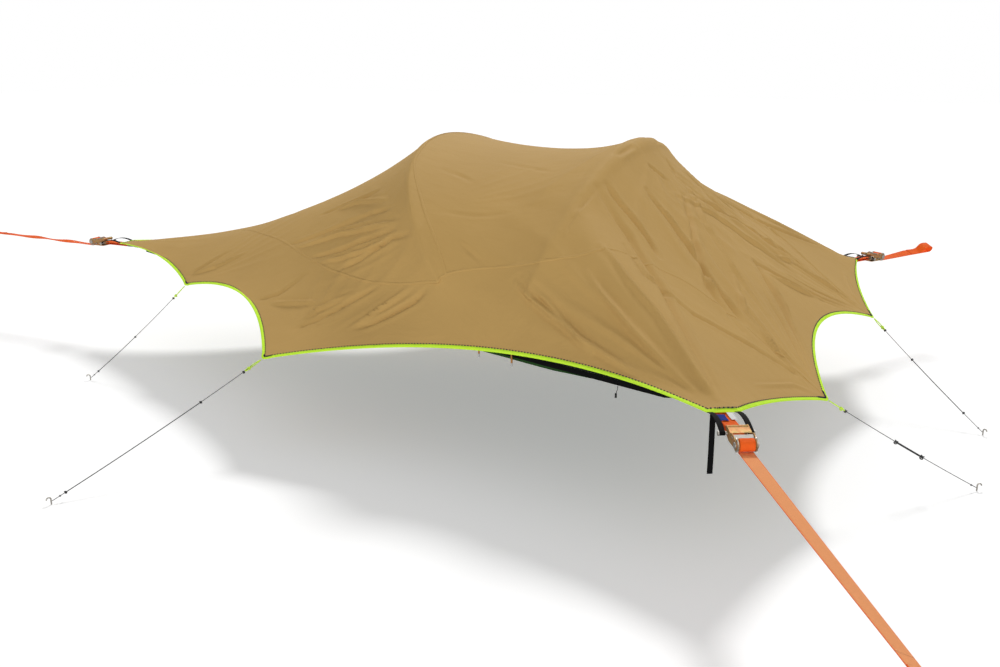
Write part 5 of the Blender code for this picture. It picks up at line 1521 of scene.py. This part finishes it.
class TENT_OT_webbing(bpy.types.Operator):
    """Webbing of the three corners: ring and ratchet loops, fly straps, rolls and tree straps"""
    bl_idname = "tree_tent.webbing"
    bl_label = "Corner webbing"

    def execute(self, context):
        for place in CORNERS:
            self.loops(place)
            self.fly_straps(place)
            self.roll(place)
        for name, (finish, ends, side) in LABELS.items():
            self.label(name, finish, ends, side)
        for place, reach, twist in TREE_STRAPS:
            self.tree_strap(place, reach, math.radians(twist))
        return {"FINISHED"}

    def strap(self, name, place, pairs, y, width, finish, node, closed=False):
        """A strap through (out, up) pairs of a corner's frame, at a distance y to its side."""
        path = np.array([(x, y, z) for x, z in pairs])
        path = resampled(closed_up(path), 0.004)[:-1] if closed else resampled(path, 0.004)
        made = rig_band(name, place, rig_points(place, path), flat_profile(width, THICK), finish, closed)
        if closed:
            weld(made)
        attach(made, "tent")
        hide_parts(node)

    def loops(self, place):
        """The black loop from the floor's cut corner to the ring, and the one from ring to bolt."""
        wrap, seat = (radius + GAP + THICK / 2 for radius in (RING_WIRE, BOLT_RADIUS))
        half, deep = BAND_HEIGHT / 2 + GAP + THICK / 2, BAND_THICKNESS / 2 + GAP + THICK / 2
        pairs = arc_points((-RING_HALF, 0.0), wrap, -math.pi / 2, math.pi / 2, 12)
        near, far = -SETBACK + deep, -SETBACK - deep
        pairs += [(near, half), (far, half), (far, -half), (near, -half)]
        self.strap(f"{place}_ring_webbing", place, pairs, 0.0, STRAP_WIDTH, FINISHES["black"],
                   f"{place}_corner_loop", True)
        pairs = arc_points((RING_HALF, 0.0), wrap, math.pi / 2, 3 * math.pi / 2, 12)
        pairs += arc_points((BOLT_REACH, 0.0), seat, -math.pi / 2, math.pi / 2, 12)
        self.strap(f"{place}_bolt_webbing", place, pairs, 0.0, STRAP_WIDTH, FINISHES["strap"],
                   f"{place}_ratchet_loop", True)

    def fly_straps(self, place):
        """The two narrow straps from the fly's corner to the bolt's ends."""
        for side, y in (("left", -STRAP_SIDE), ("right", STRAP_SIDE)):
            self.strap(f"{place}_fly_webbing_{side}", place, fly_strap_pairs(24), y, NARROW, FINISHES["narrow"],
                       f"{place}_fly_strap_{side}")

    def label(self, name, finish, ends, side):
        """A plain label of cloth that lies over the near ratchet's loop, with a soft curl: with a
        its share along and o its share across, 5.5 mm (1 - a)^2 + 2 mm a sin(pi o) high."""
        along, over = even(12)[:, None], even(8)[None, :]
        wide = side[1] - side[0]
        x = ends[0] + (ends[1] - ends[0]) * along + 0.004 * over
        y = side[0] + wide * over + 0.004 * along
        z = LABEL_HEIGHT + 0.0055 * (1 - along) ** 2 + 0.002 * np.sin(np.pi * over) * along
        points = rig_points("near", np.stack(np.broadcast_arrays(x, y, z), -1))
        made = surface(name, points, np.stack(np.broadcast_arrays(y, x), -1), FINISHES[finish])
        thicken(made, size_of("thin_cloth"))
        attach(made, "tent")
        area = cloth_area(points)
        wide * 1.05
        area / wide

    def roll(self, place):
        """The wound end: a spiral that gains one thickness each turn."""
        turns = (ROLL_OUTER - ROLL_INNER) / THICK
        angle = np.linspace(0.0, 2 * np.pi * turns, int(40 * turns))
        radius = ROLL_INNER + THICK / 2 + (ROLL_OUTER - ROLL_INNER - THICK) * angle / angle[-1]
        turned = angle - angle[-1] - np.pi / 2
        spots = (SPINDLE_REACH + radius * np.cos(turned), 0 * angle, radius * np.sin(turned))
        path = rig_points(place, np.stack(spots, -1))
        profile = flat_profile(STRAP_WIDTH - 0.001, THICK * 0.94)
        made = rig_band(f"{place}_wound_strap", place, path, profile, FINISHES["strap"])
        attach(made, f"{place}_spindle")
        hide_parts(f"{place}_strap_roll")

    def tree_strap(self, place, reach, twist):
        """The strap from under the roll to its sewn end eye, slowly twisted on the way. The one to
        the apex also turns to and fro by 9 degrees times sin(5 pi s) sin(pi s)."""
        half = EYE_HALF_HEIGHT
        start_drop = -(ROLL_OUTER + GAP + THICK / 2)
        flat_from = reach - EYE_LENGTH / 2 - 4 * half - EYE_LAP
        run = np.linspace(SPINDLE_REACH, flat_from, 60)
        drop = start_drop + (-half - start_drop) * (run - SPINDLE_REACH) / (flat_from - SPINDLE_REACH)
        lap = -half + THICK + GAP
        eye_start, eye_end = reach - EYE_LENGTH / 2, reach + EYE_LENGTH / 2 - half
        pairs = list(zip(run, drop)) + [(eye_start, -half)]
        pairs += arc_points((eye_end, 0.0), half, -math.pi / 2, math.pi / 2, 20)
        pairs += [(eye_start, half), (eye_start - 2 * half, lap), (eye_start - 2 * half - EYE_LAP, lap)]
        pairs = resampled(np.array(pairs), 0.006)
        at = np.clip((pairs[:, 0] - SPINDLE_REACH) / (flat_from - SPINDLE_REACH), 0.0, 1.0)
        turn = twist * at
        if place == "apex":
            turn = turn + STRAP_WAVE * np.sin(2 * np.pi * STRAP_WAVES * at) * np.sin(np.pi * at)
        across = rig_ways(place, np.stack([np.zeros(len(pairs)), np.cos(turn), np.sin(turn)], -1))
        path = np.stack([pairs[:, 0], -np.sin(turn) * pairs[:, 1], np.cos(turn) * pairs[:, 1]], -1)
        path = rig_points(place, path)
        normal = unit(np.cross(tangents(path), across))
        # The near long strap takes the paler copy of its webbing, a painted highlight
        finish = FINISHES["strap_face" if place == "near" else "strap"]
        made = swept(f"{place}_long_strap", path, across, normal, flat_profile(STRAP_WIDTH, THICK), finish)
        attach(made, "tent")
        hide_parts(f"{place}_tree_strap")


OPERATORS = (TENT_OT_stage, TENT_OT_finishes, TENT_OT_guys, TENT_OT_fly, TENT_OT_binding, TENT_OT_floor,
             TENT_OT_net, TENT_OT_webbing)


class TENT_PT_panel(bpy.types.Panel):
    """The steps that dress the tent, in order"""
    bl_idname = "TENT_PT_panel"
    bl_label = "Tree tent"
    bl_space_type = "VIEW_3D"
    bl_region_type = "UI"
    bl_category = "Tree tent"

    def draw(self, context):
        scene = context.scene
        for group in (scene.tree_tent_finishes, scene.tree_tent_sizes, scene.tree_tent_stage):
            for name in group.bl_rna.properties.keys():
                if name not in ("rna_type", "name"):
                    self.layout.prop(group, name)
        for operator in OPERATORS:
            self.layout.operator(operator.bl_idname)


CLASSES = (TentFinishes, TentSizes, TentStage, *OPERATORS, TENT_PT_panel)


def register():
    """Makes the settings, operators and panel known to Blender."""
    for made in CLASSES:
        bpy.utils.register_class(made)
    bpy.types.Scene.tree_tent_finishes = bpy.props.PointerProperty(type=TentFinishes)
    bpy.types.Scene.tree_tent_sizes = bpy.props.PointerProperty(type=TentSizes)
    bpy.types.Scene.tree_tent_stage = bpy.props.PointerProperty(type=TentStage)


def unregister():
    """Takes them away again."""
    del bpy.types.Scene.tree_tent_finishes
    del bpy.types.Scene.tree_tent_sizes
    del bpy.types.Scene.tree_tent_stage
    for made in reversed(CLASSES):
        bpy.utils.unregister_class(made)


def main():
    """Dresses the tent."""
    register()
    bpy.ops.tree_tent.stage()
    bpy.ops.tree_tent.finishes()
    bpy.ops.tree_tent.guys()
    bpy.ops.tree_tent.fly()
    bpy.ops.tree_tent.binding()
    bpy.ops.tree_tent.floor()
    bpy.ops.tree_tent.net()
    bpy.ops.tree_tent.webbing()


if __name__ == "__main__":
    main()
